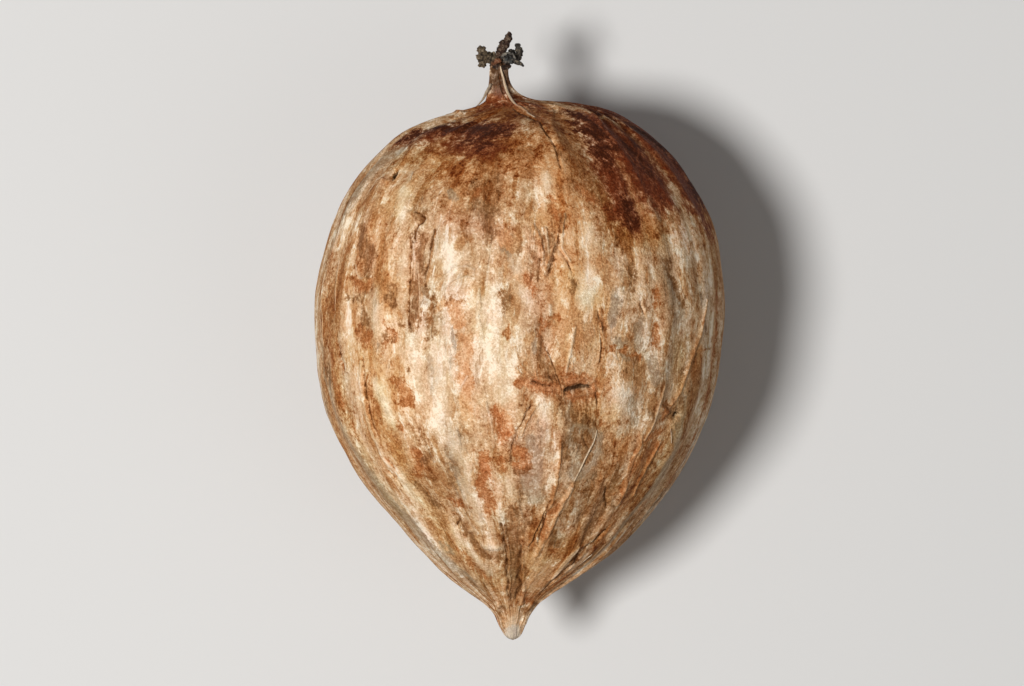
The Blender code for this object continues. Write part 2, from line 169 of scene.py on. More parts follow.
# Raised fibres that are orange or rusty
RUSTY_LINES = (
    ((641, 436, 0.8), (639.4, 447, 1.6), (631.8, 462, 2.2), (627.5, 476, 2.2), (624, 489, 1.8),
     (617, 505, 1.0)),
    ((706, 300, 0.8), (703, 318, 1.4), (700, 335, 1.7), (693, 356, 1.6), (686, 376, 1.5), (680, 394, 1.4),
     (672, 406, 1.2)),
    ((694, 352, 0.7), (700, 350, 0.9), (709, 348, 0.5)),
    ((561, 440, 0.6), (560, 462, 1.0), (556, 486, 1.2), (551, 503, 1.3), (542, 516, 1.3), (535.4, 531, 1.2),
     (528.9, 546, 1.0)),
    ((573.3, 486, 1.2), (561.4, 506, 1.8), (552.7, 524, 1.9), (543, 543.7, 1.8), (535.4, 556.7, 1.3)),
    ((545, 350, 0.7), (553, 366, 1.0), (558, 380, 1.3), (562, 390, 1.6), (563, 402, 1.1)),
    ((536, 372, 0.6), (537, 381, 1.0), (546, 386, 1.2), (556, 389, 1.2)),
    ((520, 377, 0.6), (528, 382, 1.0), (540, 388, 1.2), (552, 391, 1.0)),
    ((530, 375, 0.5), (544, 379, 1.0), (556, 382, 1.0)),
    ((516, 369, 0.5), (523, 376, 0.8), (532, 380, 0.6)),
    ((521, 365, 0.4), (527, 373, 0.7), (534, 378, 0.5)),
    ((574, 394, 0.6), (586, 393.5, 0.9), (597, 391, 0.6)),
    ((571, 381, 0.6), (584, 379, 0.9), (595, 381, 0.6)),
    ((516, 386, 0.5), (526, 389, 0.8), (538, 391, 0.8)),
    ((566, 383, 0.8), (577, 382, 1.1), (589, 384, 1.1), (597, 388, 0.7)),
    ((566, 396, 0.7), (580, 395, 1.0), (594, 392, 1.0)),
    ((533, 224, 0.6), (540, 238, 0.9), (543, 254, 0.9), (541, 270, 0.7)),
    ((565, 216, 0.6), (560, 232, 1.0), (553, 247, 1.2), (548, 262, 1.0), (544, 276, 0.7)),
    ((600, 308, 0.6), (603, 322, 1.2), (601, 340, 1.2), (600, 358, 0.8)),
    ((526, 408, 0.7), (521, 424, 1.0), (516, 440, 0.9)),
    ((538, 404, 0.5), (528, 420, 0.8), (521, 436, 0.7)),
    ((409, 232, 0.6), (411, 250, 1.0), (410, 275, 1.0), (409, 300, 0.9), (409, 320, 0.6)),
    ((436, 232, 0.6), (433, 250, 1.0), (430, 265, 0.8)),
    ((663, 440, 0.6), (657, 452, 1.1), (648, 466, 1.3), (640, 482, 1.1), (634, 496, 0.8)),
    ((522, 550, 0.6), (524, 570, 1.1), (524, 590, 1.3), (522, 604, 0.9)),
    ((504, 530, 0.6), (509, 550, 0.9), (510, 575, 0.9), (509, 598, 0.7)),
)

# Ragged lumps that stand out, most of them round the tip
KNOBS = (
    ((499.5, 604, 1.4), (499, 610, 2.0), (500, 616, 1.6)),
    ((501.5, 621, 1.6), (503, 626, 1.2)),
    ((532, 602, 1.6), (528, 610, 1.8)),
    ((525.5, 617, 1.4), (523.5, 623, 1.2)),
    ((487, 545, 3.5), (491.5, 545.5, 4.5), (496, 546, 3.5)),
    ((469, 529, 1.6), (469.4, 529.2, 1.6)),
    ((641, 411, 2), (646, 413, 3.5), (650, 418, 2)),
    ((662, 409, 2), (668, 412, 3)),
    ((446, 115, 1.2), (455, 113.5, 1.8), (461, 113, 1.0)),
    ((570, 284, 1.6), (574, 287, 1.6)),
    ((412, 212, 1.6), (420, 214, 2.4), (426, 212, 1.4)),
    ((383, 180, 1.4), (387, 182, 1.6)),
)

# Where the skin is palest, with a painted highlight on the middle of the nut as the first stroke
CREAM_AND_HIGHLIGHT = (
    ((487, 300, 5), (492, 320, 9), (495, 345, 12), (500, 365, 14), (508, 385, 11), (500, 400, 7)),
    ((519, 290, 3), (522, 297, 4.5), (526, 304, 3)),
    ((403, 190, 5), (404, 205, 6), (401, 222, 4)),
    ((405, 246, 3.5), (403, 262, 3.5), (397, 276, 3)),
    ((377, 290, 3.5), (376, 310, 4), (374, 330, 3.5)),
    ((437, 330, 8), (440, 360, 8), (444, 390, 9), (440, 415, 7)),
    ((452, 440, 6), (466, 470, 7), (470, 500, 8), (478, 522, 5)),
    ((585, 297, 8), (592, 290, 5)),
    ((590, 231, 4), (586, 240, 5)),
    ((543, 176, 6), (546, 190, 6), (549, 203, 4)),
    ((617, 394, 5), (622, 405, 5)),
    ((375, 385, 5), (385, 405, 7), (392, 425, 5)),
    ((457, 531, 3.5), (467, 546, 4), (478, 562, 4), (492, 576, 3)),
    ((400, 475, 3), (408, 490, 3.5), (420, 505, 3)),
    ((487, 545, 5), (491.5, 545.5, 6.2), (496, 546, 5)),
    ((468.8, 529, 2.4), (469.2, 529, 2.4)),
    ((541, 402, 4), (543, 412, 5), (541, 420, 4)),
    ((513, 633, 4.5), (513, 637, 4)),
    ((505, 480, 3), (512, 498, 3)),
    ((458, 145, 2), (466, 144, 2.5)),
    ((685, 215, 3), (689, 224, 2.5)),
    ((418, 330, 5), (412, 345, 5)),
    ((511, 260, 5), (518, 272, 5)),
    ((440, 250, 5), (450, 262, 6), (462, 255, 4)),
    ((512, 616, 4), (513, 626, 4)),
)

# Pinkish tan skin
TAN = (
    ((451, 300, 3.5), (458, 305, 7), (458, 320, 8)),
    ((466, 340, 7), (463, 360, 8), (466, 385, 8), (466, 405, 8), (463, 420, 6)),
    ((497, 408, 4), (505, 420, 7), (512, 430, 5)),
    ((372, 206, 6), (383, 209, 7), (393, 207, 5)),
    ((413, 455, 7), (419, 470, 6)),
    ((533, 560, 10), (543, 568, 11), (536, 585, 9), (526, 592, 4)),
    ((573, 486, 2.5), (561, 506, 3.5), (552.7, 524, 3.5), (543, 543.7, 3.5), (536, 556, 3)),
    ((394, 386, 6), (403, 393, 8), (408, 402, 5)),
    ((442, 300, 4), (436, 312, 4)),
    ((560, 250, 6), (566, 262, 6)),
    ((500, 235, 8), (512, 245, 7)),
    ((600, 260, 8), (612, 280, 7)),
    ((545, 208, 6), (538, 222, 6)),
    ((515, 277, 4), (523, 278, 7), (531, 288, 5)),
    ((552, 298, 5), (560, 312, 8), (562, 330, 9), (563, 350, 6)),
    ((590, 326, 6), (592, 346, 8)),
)

# Rusty places where the outermost skin has flaked away
RUST = (
    ((484, 452, 2.5), (485, 462, 6), (484, 474, 7), (483, 484, 6.5), (488, 494, 7.5), (490, 502, 6.5),
     (487, 511, 5), (487, 514, 2)),
    ((500, 461, 4), (502, 472, 3)),
    ((459, 549, 2.2), (466, 558, 3.2), (474, 568, 3.2), (482, 577, 4), (489, 580, 3.6), (492, 577, 2)),
    ((516, 382, 3), (528, 384, 5), (542, 387, 6), (556, 389, 6)),
    ((568, 380, 4), (582, 377, 5), (594, 382, 4), (597, 392, 3)),
    ((568, 396, 4), (583, 397, 4), (594, 394, 3)),
    ((384, 345, 3.0), (382.5, 354, 3.6), (381, 361, 1.5)),
    ((349, 278, 4), (357, 282, 5), (366, 290, 5), (371, 280, 4)),
    ((360, 330, 4), (364, 339, 6), (370, 333, 3)),
    ((386, 323, 3), (391, 331, 5), (398, 338, 4), (388, 337, 3)),
    ((603, 312, 2.5), (603, 322, 4)),
    ((656, 290, 3), (656, 310, 4), (655, 330, 4), (658, 345, 2.5)),
    ((665, 405, 4), (667, 414, 6), (664, 420, 4)),
    ((644, 438, 5), (658, 434, 7), (650, 456, 9), (662, 446, 7)),
    ((636, 452, 3), (632, 470, 4), (622, 490, 4)),
    ((537, 335, 3), (541, 326, 3.5), (549, 320, 4), (559, 316, 3.5)),
    ((527, 279, 3), (532, 287, 4), (531, 296, 2)),
    ((535, 330, 3), (538, 336, 2)),
    ((550, 196, 3), (554, 204, 4), (558, 214, 3)),
    ((325, 286, 1.4), (326, 320, 2.0), (330, 360, 2.8), (337, 392, 2.8), (346, 415, 3.2), (356, 440, 2.4)),
    ((339, 270, 1.5), (334, 300, 2.2), (335, 340, 2.2), (344, 372, 2)),
    ((368, 376, 2.2), (370, 396, 3.0), (376, 412, 2.6), (380, 426, 1.8)),
    ((393, 380, 4), (402, 388, 7), (409, 400, 6), (400, 402, 4)),
    ((398, 420, 3), (402, 430, 3)),
    ((496, 102, 6), (512, 106, 8), (528, 112, 8), (542, 118, 6)),
    ((524, 592, 4), (528, 602, 4)),
    ((719, 290, 2.5), (718, 330, 3), (712, 375, 3), (700, 420, 3), (688, 452, 3), (668, 486, 3)),
    ((514, 450, 5), (524, 455, 6), (528, 466, 4), (518, 466, 5)),
    ((492, 408, 3), (500, 418, 5), (506, 430, 5), (500, 440, 3)),
    ((385, 459, 2.5), (392, 467, 2.5), (396, 475, 1.5)),
    ((596, 410, 2.5), (601, 424, 3.5)),
    ((480, 190, 4), (470, 200, 4)),
    ((608, 112, 5), (590, 112, 5), (572, 109, 3)),
    ((416, 452, 5), (421, 464, 6), (417, 474, 4)),
    ((446, 499, 4), (458, 502, 5), (464, 508, 3)),
    ((540, 536, 4), (548, 520, 4), (558, 508, 3)),
    ((610, 348, 3), (626, 350, 4), (640, 356, 3)),
    ((576, 182, 3), (590, 200, 4)),
    ((385, 178, 1.6), (386, 182, 1.8)),
    ((564, 372, 2), (566, 378, 2)),
    ((508, 328, 1.6), (507, 336, 1.4)),
)

# Brown scars, hollows and fibrous strips
BROWN = (
    ((412, 212, 3), (420, 215.5, 4), (425, 213, 2.5)),
    ((361, 226, 5), (364, 240, 8), (368, 256, 9), (366, 270, 6)),
    ((418, 232, 3), (421, 245, 5), (420, 262, 5.5), (416, 280, 6), (415, 300, 6), (414, 318, 5.5),
     (412, 330, 4)),
    ((428, 290, 2.5), (431, 303, 4), (427, 318, 3.5), (431, 331, 3.5)),
    ((389, 284, 3), (389, 296, 4.5), (392, 305, 3)),
    ((361, 312, 5), (366, 322, 6.5)),
    ((349, 297, 3.5), (357, 298, 4.5), (364, 294, 3)),
    ((384, 333, 3), (392, 337, 3.5)),
    ((478, 204, 7), (489, 212, 10), (490, 228, 8), (487, 240, 4)),
    ((553, 232, 4), (552.5, 246, 5)),
    ((545, 234, 3), (546, 252, 4), (548, 262, 4)),
    ((533, 252, 3), (534, 266, 4), (535, 280, 3.5)),
    ((536, 256, 3), (534, 276, 3)),
    ((505, 288, 3), (508, 300, 4), (506, 311, 2)),
    ((540, 336, 3), (541, 346, 5.5), (542, 357, 6), (546, 367, 6), (551, 377, 4.5)),
    ((573, 282, 2.6), (573.2, 289, 2.6)),
    ((632, 266, 3.5), (635, 276, 4), (635, 292, 3)),
    ((663, 252, 3), (667, 266, 4), (673, 282, 4.5), (680, 296, 4), (686, 308, 3)),
    ((407, 361, 2.2), (408.5, 370, 2.2)),
    ((419, 430, 2.5), (424, 442, 4.5), (428, 453, 4), (424, 464, 3)),
    ((511, 512, 6), (516, 522, 10), (514, 536, 8), (513, 552, 6.5), (512.6, 573, 6), (512.4, 597, 5)),
    ((457, 516, 2.5), (463, 526, 3.5), (468, 536, 3.5), (478, 546, 3.5), (487, 557, 4), (497, 559, 4),
     (503, 554, 3)),
    ((416, 483, 2.5), (419, 490, 2.5)),
    ((422, 490, 3), (430, 500, 4), (440, 508, 4)),
    ((446, 446, 3), (449, 451, 3)),
    ((449, 480, 2), (451, 487, 2)),
    ((576, 434, 6), (590, 446, 8), (584, 460, 6)),
    ((566, 446, 4), (564, 460, 4)),
    ((634, 441, 2.5), (636, 448, 2.5)),
    ((605, 486, 4), (606, 500, 5), (602, 514, 6), (592, 530, 6), (583, 543, 4)),
    ((618, 470, 3), (616, 486, 4), (610, 500, 4)),
    ((564, 514, 3), (558, 523, 3)),
    ((586, 510, 3), (580, 521, 4)),
    ((551, 534, 5), (556, 542, 6)),
    ((606, 530, 2.5), (594, 541, 3), (582, 552, 3), (572, 563, 3), (560, 576, 2.4), (545, 590, 2)),
    ((684, 373, 2), (691, 360, 2)),
    ((674, 414, 4), (680, 410, 4), (684, 402, 2)),
    ((641, 408, 1.8), (649, 409, 1.8), (651, 418, 1.8), (645, 424, 2), (640, 417, 1.8), (641, 409, 1.8)),
    ((661, 406, 1.4), (668, 404, 1.4), (673, 411, 1.4), (668, 419, 1.6), (661, 414, 1.4)),
    ((634, 380, 3), (638, 358, 2.5)),
    ((523, 608, 3.4), (525, 616, 3)),
    ((536, 603, 3.5), (528, 610, 3)),
    ((500, 606, 2.4), (498, 614, 2)),
    ((434, 330, 1.5), (424, 352, 1)),
    ((499, 178, 3), (501, 190, 2.4)),
    ((531, 453, 1.6), (534, 462, 1.8), (530, 471, 1.6)),
    ((516, 470, 2), (522, 474, 2)),
    ((560, 150, 2), (567, 160, 2)),
    ((398, 322, 2.4), (404, 326, 2)),
    ((516, 244, 3), (518, 252, 3)),
    ((603, 316, 2), (606, 324, 2)),
    ((646, 304, 1.6), (648, 314, 1.6)),
    ((470, 320, 1.2), (466, 308, 1.0), (456, 294, 1.4), (448, 298, 1.2)),
)

# Grey and greenish weathered skin
GREY = (
    ((430.5, 362, 3), (435, 371, 4.4), (437, 381, 2.4)),
    ((452, 442, 7), (450, 455, 6)),
    ((456, 470, 4), (462, 484, 4)),
    ((434, 319, 3), (430, 329, 3.4)),
    ((424, 292, 3.5), (427, 300, 5), (431, 310, 4)),
    ((664, 258, 4), (668, 280, 5), (676, 296, 5), (682, 312, 6), (674, 324, 6)),
    ((632, 400, 6), (636, 418, 5)),
    ((687, 396, 4), (680, 424, 6), (676, 447, 6.5), (666, 467, 6.5), (656, 484, 6.5), (642, 503, 6),
     (622, 524, 5)),
    ((338, 226, 5), (354, 194, 7), (378, 164, 9), (408, 141, 10), (440, 126, 8)),
    ((321, 345, 2), (325, 381, 3), (332, 405, 4), (342, 428, 5), (356, 452, 6), (374, 480, 7),
     (396, 507, 8),
     (420, 533, 8), (446, 558, 7), (472, 580, 4)),
    ((531, 440, 7), (533, 460, 8), (531, 482, 9), (535, 500, 8)),
    ((576, 430, 8), (594, 440, 10), (588, 460, 10), (576, 474, 8)),
    ((556, 537, 7), (558, 544, 5)),
    ((618, 340, 7), (626, 354, 7)),
    ((652, 360, 7), (656, 380, 7)),
    ((444, 544, 4), (449, 552, 4)),
    ((455, 197, 4), (448, 192, 4)),
    ((652, 203, 6), (658, 214, 5)),
    ((645, 415, 3), (646, 417, 3)),
    ((616, 298, 6), (612, 320, 5)),
    ((640, 326, 6), (642, 345, 6)),
    ((514, 262, 4), (520, 280, 4)),
    ((536, 352, 5), (534, 340, 4)),
    ((472, 508, 4), (478, 518, 5)),
    ((502, 246, 4), (508, 256, 4)),
)

# The dark stain that has run down from the neck
STAIN = (
    ((404, 140, 5), (426, 134, 9), (452, 130, 12), (476, 131, 16), (498, 130, 13), (512, 126, 6)),
    ((452, 142, 8), (472, 147, 9), (490, 148, 8)),
    ((484, 107, 6), (500, 103, 9), (516, 102, 8), (534, 104, 7)),
    ((486, 94, 3), (494, 98, 5), (506, 98, 7), (516, 97, 5), (524, 99, 4)),
    ((584, 120, 5), (598, 134, 9), (610, 150, 14)),
    ((592, 118, 14), (620, 140, 26), (642, 168, 30), (652, 188, 26), (660, 200, 14)),
    ((600, 152, 10), (616, 182, 16), (624, 206, 16), (630, 221, 8)),
    ((650, 140, 24), (678, 172, 26), (694, 202, 20), (706, 224, 10)),
    ((562, 102, 3), (592, 108, 13), (622, 117, 20), (656, 136, 26), (688, 170, 28), (706, 204, 18)),
)

# The chalky end of the tip
CHALK = (
    ((513, 630, 6.5), (513, 636, 8), (513, 642, 8)),
)

# Skin that catches the light, as brown as what is round it
LIGHTER = (
    ((356, 236, 12), (352, 290, 14), (356, 350, 14), (366, 400, 15), (384, 440, 15), (398, 474, 10)),
    ((388, 280, 12), (390, 330, 14), (396, 400, 16)),
    ((568, 205, 12), (571, 250, 18), (570, 300, 18), (590, 330, 16), (602, 378, 14), (625, 390, 12)),
    ((655, 212, 10), (640, 240, 14), (630, 290, 12), (626, 340, 14), (625, 380, 12)),
    ((596, 280, 14), (602, 320, 16)),
    ((505, 580, 6), (500, 600, 5)),
    ((524, 592, 7), (514, 608, 8), (514, 620, 7)),
    ((540, 108, 7), (556, 122, 9), (566, 136, 10), (568, 152, 9)),
    ((500, 138, 6), (520, 140, 9), (532, 140, 10)),
    ((388, 186, 14), (386, 206, 12), (376, 226, 10), (380, 262, 12)),
    ((470, 190, 8), (480, 198, 8)),
    ((565, 396, 8), (568, 420, 12), (566, 440, 9)),
    ((596, 396, 9), (600, 412, 9), (620, 400, 10)),
    ((536, 345, 10), (560, 352, 14), (580, 340, 12)),
    ((450, 172, 12), (470, 176, 10)),
    ((438, 160, 10), (446, 168, 12)),
    ((474, 188, 9), (484, 202, 8)),
    ((650, 160, 10), (656, 182, 13), (662, 202, 9)),
    ((496, 166, 8), (530, 162, 10), (546, 172, 11), (566, 166, 10)),
    ((556, 128, 8), (568, 146, 9)),
    ((620, 250, 10), (624, 310, 11), (622, 372, 10)),
    ((352, 262, 9), (352, 300, 11), (362, 335, 9)),
    ((364, 340, 9), (380, 380, 11), (388, 412, 10)),
    ((396, 330, 8), (398, 344, 8)),
)

# The dark neck
NECK = (
    ((500, 60, 16), (501, 76, 15), (502, 86, 10)),
)

# The wrinkled grey skin at the foot of the neck
ASH = (
    ((490, 89, 2.2), (496, 92.5, 2.6), (503, 93.5, 2.2), (509, 90, 1.6)),
)

# The darkest parts of the stain: partly a darker stain, partly painted shade in its hollows and along the
# limbs of the nut
STAIN_DEPTHS_AND_SHADE = (
    ((566, 110, 3), (580, 122, 5), (592, 136, 6), (600, 150, 6), (606, 164, 3)),
    ((574, 114, 3), (586, 119, 5), (600, 128, 7), (608, 142, 7)),
    ((628, 200, 5), (630, 220, 5)),
    ((632, 148, 6), (650, 172, 6)),
    ((448, 126, 6), (470, 128, 9), (492, 130, 10), (508, 130, 6)),
    ((470, 140, 5), (484, 144, 6)),
    ((406, 137, 4), (420, 132, 6), (436, 128, 7)),
    ((600, 112, 4), (640, 130, 8), (680, 165, 8), (700, 200, 6)),
    ((584, 126, 5), (598, 138, 8), (612, 146, 6)),
)

# Broad parts of the skin that are paler, browner or greyer than the rest. The paler parts on the middle of
# the nut are partly a painted highlight, and the greyer parts along its limbs are partly painted shade
PALER_AND_HIGHLIGHT = (
    ((442, 240, 10), (446, 290, 18), (446, 340, 20), (448, 390, 19), (446, 436, 15)),
    ((497, 292, 10), (503, 340, 17), (506, 386, 14)),
    ((414, 306, 10), (412, 350, 12), (416, 395, 10)),
    ((480, 300, 8), (478, 380, 8)),
    ((590, 282, 14), (586, 312, 10)),
    ((376, 300, 8), (380, 330, 6)),
    ((484, 320, 10), (490, 360, 12)),
    ((440, 300, 8), (446, 330, 8)),
    ((436, 136, 8), (430, 146, 6)),
    ((380, 480, 8), (396, 500, 7)),
    ((398, 496, 8), (420, 530, 10), (446, 560, 10)),
    ((628, 392, 8), (632, 410, 8)),
)
BROWNER = (
    ((440, 130, 14), (448, 160, 20), (454, 190, 18), (458, 214, 8)),
    ((470, 108, 18), (500, 118, 26), (500, 150, 30), (494, 185, 26), (490, 214, 14)),
    ((540, 108, 20), (560, 145, 26), (568, 180, 24), (576, 212, 16)),
    ((600, 122, 24), (632, 160, 34), (642, 196, 32), (636, 228, 20)),
    ((676, 180, 16), (696, 220, 14), (706, 260, 8)),
    ((330, 258, 8), (327, 300, 8), (328, 345, 8), (336, 390, 8), (346, 424, 6)),
    ((366, 232, 12), (362, 262, 10)),
    ((606, 442, 12), (644, 446, 20), (636, 490, 20), (600, 512, 24), (570, 552, 20), (540, 594, 14)),
    ((556, 500, 14), (520, 540, 12), (514, 590, 11), (513, 612, 9)),
    ((596, 466, 14), (614, 500, 18), (600, 542, 12)),
    ((642, 486, 14), (628, 540, 12), (600, 575, 10)),
    ((684, 440, 8), (672, 484, 8)),
    ((520, 384, 8), (560, 384, 10), (600, 384, 6)),
    ((506, 455, 6), (522, 456, 8)),
    ((560, 258, 12), (540, 280, 10)),
    ((714, 300, 6), (714, 360, 6), (702, 410, 8)),
)
SCORCHED = (
    ((440, 140, 8), (452, 165, 11), (458, 188, 8)),
    ((462, 112, 10), (490, 110, 20), (516, 112, 22), (544, 116, 16)),
    ((474, 146, 18), (500, 152, 22), (528, 148, 14), (530, 165, 8)),
    ((490, 170, 10), (490, 196, 8)),
    ((556, 118, 12), (572, 150, 15), (588, 176, 14), (600, 200, 12), (608, 226, 8)),
    ((620, 234, 9), (640, 232, 10), (662, 222, 10), (682, 214, 8)),
    ((600, 118, 12), (650, 150, 16), (690, 195, 12), (706, 226, 8)),
    ((552, 205, 5), (556, 222, 5), (552, 240, 4)),
)
# Greyer skin: partly real weathering, partly painted shade along the limbs of the nut
GREYER_AND_SHADE = (
    ((612, 248, 8), (622, 280, 10), (628, 320, 11), (632, 360, 13), (634, 400, 13), (628, 426, 9)),
    ((652, 246, 10), (666, 285, 12), (678, 320, 12), (670, 360, 14), (664, 392, 12)),
    ((690, 262, 6), (700, 300, 6)),
    ((694, 386, 9), (686, 420, 10), (676, 450, 10), (662, 476, 10), (646, 502, 9), (626, 526, 9),
     (600, 550, 7),
     (574, 570, 6)),
    ((322, 345, 5), (328, 380, 7), (338, 414, 9), (354, 450, 11), (376, 486, 13), (402, 516, 13),
     (430, 546, 12),
     (456, 570, 9), (478, 588, 6)),
    ((324, 264, 4), (336, 226, 9), (356, 190, 12), (384, 158, 13), (416, 137, 12), (446, 124, 8)),
    ((546, 430, 8), (544, 452, 9)),
    ((516, 440, 9), (530, 470, 13), (536, 500, 13), (526, 520, 9)),
    ((584, 430, 16), (590, 462, 18), (578, 500, 14), (560, 530, 10)),
    ((566, 396, 10), (570, 436, 14), (582, 480, 12), (590, 520, 12)),
    ((656, 440, 14), (650, 480, 14), (630, 515, 12)),
    ((700, 430, 8), (682, 472, 10), (656, 510, 11), (626, 545, 11), (592, 574, 9), (562, 596, 7)),
    ((540, 520, 9), (548, 536, 9)),
    ((460, 440, 9), (456, 460, 8), (464, 486, 6)),
    ((432, 362, 5), (436, 384, 5)),
    ((428, 296, 5), (430, 326, 6)),
    ((510, 524, 11), (514, 560, 8), (512, 592, 7)),
    ((536, 330, 6), (546, 368, 6)),
    ((620, 470, 10), (610, 506, 10)),
    ((476, 186, 8), (490, 208, 8)),
)
PINKISH = (
    ((536, 240, 8), (536, 300, 6), (544, 350, 8)),
    ((540, 430, 12), (530, 480, 12)),
    ((500, 420, 10), (510, 440, 10)),
    ((530, 386, 10), (580, 388, 12)),
    ((364, 232, 8), (368, 262, 9)),
    ((418, 240, 6), (416, 320, 7)),
    ((456, 296, 6), (464, 380, 8)),
    ((450, 220, 10), (500, 230, 10)),
    ((484, 470, 8), (488, 500, 8)),
)
YELLOWISH = (
    ((352, 352, 8), (376, 366, 12), (382, 400, 14), (392, 440, 14), (412, 484, 14), (436, 514, 12)),
    ((404, 470, 10), (450, 545, 14), (490, 584, 12), (540, 560, 16), (570, 545, 14)),
    ((330, 320, 6), (340, 400, 8), (360, 450, 10), (400, 510, 12)),
    ((590, 410, 10), (606, 420, 10)),
    ((570, 280, 12), (590, 300, 10)),
    ((400, 160, 14), (440, 160, 10), (395, 205, 12)),
    ((680, 350, 12), (672, 440, 12), (640, 500, 10)),
    ((630, 230, 12), (660, 240, 12)),
    ((478, 290, 5), (478, 328, 5)),
)

# How far each kind of mark is raised from the skin or sunk in it
RELIEF_MM = {
    "cracks": -0.12, "pits": -0.28, "pale_lines": 0.06, "rusty_lines": 0.09, "knobs": 0.14,
    "cream_and_highlight": 0.025, "brown": -0.05, "rust": -0.03, "grey": 0.01,
}
RELIEF_EDGE_MM = {
    "cracks": 0.10, "pits": 0.16, "pale_lines": 0.12, "rusty_lines": 0.12, "knobs": 0.22,
    "cream_and_highlight": 0.3, "brown": 0.2, "rust": 0.12, "grey": 0.2,
}
MARKS = {
    "cracks": CRACKS,
    "pits": PITS,
    "pale_lines": PALE_LINES,
    "rusty_lines": RUSTY_LINES,
    "knobs": KNOBS,
    "cream_and_highlight": CREAM_AND_HIGHLIGHT,
    "tan": TAN,
    "rust": RUST,
    "brown": BROWN,
    "grey": GREY,
    "stain": STAIN,
    "neck": NECK,
    "ash": ASH,
    "chalk": CHALK,
    "lighter": LIGHTER,
    "stain_depths_and_shade": STAIN_DEPTHS_AND_SHADE,
    "paler_and_highlight": PALER_AND_HIGHLIGHT,
    "browner": BROWNER,
    "scorched": SCORCHED,
    "greyer_and_shade": GREYER_AND_SHADE,
    "pinkish": PINKISH,
    "yellowish": YELLOWISH,
}
FINE_MARKS = ("cracks", "pits", "pale_lines", "rusty_lines", "knobs")
THIN_LINES = ("cracks", "pale_lines", "rusty_lines")
MARK_REACH_MM = 1.6

# A thin line ends between these depths, so that no other stroke's way is drawn as part of it
LINE_END_MM = (-0.16, -0.10)

# The faces that come this near to a fine mark are halved, once for each margin
SPLIT_MARGINS_MM = (0.16, 0.02)

# How much the outline of a mark wanders, as (size of the bends, how far), in metres
MARK_BENDS = ((0.0014, 0.00022), (0.0005, 0.00010))
FINE_MARK_BENDS = ((0.0009, 0.00006), (0.00035, 0.00004))

# How far away the noise is read that moves an outline along x, y and z
BEND_SHIFTS = ((0, 0, 0), (0.031, 0.017, 0.009), (0.057, 0.041, 0.023))

# The fibre that has split off the right of the neck, and stands off it a little
SPLIT_FIBRE = (
    (500.2, 66, 0.5), (501.5, 72, 1.0), (503.5, 79, 1.3), (505.9, 88.9, 1.45), (509.8, 97.3, 1.4),
    (514, 103, 1.1), (518, 106.8, 0.6),
)

# Loose fibres that lie on the shell
SURFACE_FIBRES = (
    ((597, 430, 0.3), (595, 440, 0.7), (590, 449, 0.9), (585, 459, 0.8), (580, 470, 0.9),
     (574.3, 481, 0.5)),
    ((670.5, 429, 0.3), (671.8, 436, 0.7), (671.2, 443, 0.3)),
    ((592, 554.5, 0.3), (586, 559, 0.7), (580, 564, 0.4)),
    ((409, 185, 0.3), (410.5, 179, 0.7), (413, 172, 0.4)),
    ((527, 112.5, 0.4), (531, 115, 0.6), (534.5, 117, 0.4)),
)

# The lobes of the stigma: a colour and a stroke of (x, y, radius, lift towards the camera), in pixels
# The lobes' own browns and greys, darkened by painted shade on the whole crown
STIGMA_COLOURS_WITH_SHADE = {
    "tan": (0.105, 0.074, 0.044),
    "reddish": (0.060, 0.031, 0.021),
    "grey": (0.050, 0.043, 0.036),
    "bluish": (0.060, 0.064, 0.062),
    "pale": (0.180, 0.165, 0.140),
    "rusty": (0.190, 0.070, 0.032),
    "whitish": (0.600, 0.520, 0.420),
}
STIGMA_LOBES = (
    ("tan", ((481.5, 51, 5.4, 0), (482.2, 57, 6.4, 1), (482.6, 65.6, 4.0, 2))),
    ("tan", ((486, 59.5, 5.0, 2), (496, 60, 4.6, 2))),
    ("reddish", ((509.8, 35.2, 1.5, 3), (508, 40.5, 4.0, 3), (504, 47, 6.0, 3), (500, 54, 6.0, 3))),
    ("reddish", ((500, 59, 6.2, 0), (508, 61, 5.6, -2))),
    ("grey", ((517.6, 46.8, 2.6, -3), (519.8, 51, 3.6, -3), (518.0, 57.5, 3.6, -2), (514, 61, 3.4, -2))),
    ("grey", ((514, 61, 2.6, 3), (519, 64, 1.9, 3), (522.4, 67, 1.0, 3))),
    ("pale", ((501.5, 60, 1.2, 8), (503.4, 56.2, 1.2, 9), (508, 54.2, 1.2, 9), (512.6, 55.6, 1.2, 9))),
    ("pale", ((512.6, 55.6, 1.2, 9), (515.4, 60, 1.2, 8))),
    ("bluish", ((506, 60, 4.0, 4), (511, 61, 3.8, 4))),
    ("rusty", ((493.5, 64.5, 2.4, 5), (496.5, 62.4, 2.2, 8), (500.5, 61.8, 2.0, 9))),
    ("reddish", ((492.5, 67, 2.6, 0), (497, 68, 2.6, 6), (503, 68.4, 2.6, 7), (508.5, 67, 2.6, 0))),
    ("reddish", ((508.5, 67, 2.6, 0), (505, 66, 2.8, -6), (499, 66, 2.8, -7), (492.5, 67, 2.6, 0))),
    ("whitish", ((508, 69.4, 0.8, 7), (508.4, 69.8, 0.7, 7))),
    ("tan", ((501, 49, 4.6, -9), (502, 55, 5.6, -8), (501, 62, 5.4, -5))),
    ("grey", ((512, 54, 4.4, -9), (507, 60, 5.0, -7))),
    ("tan", ((490, 56, 4.8, -7), (497, 61, 5.0, -6))),
)
STIGMA_CORE = 0.75


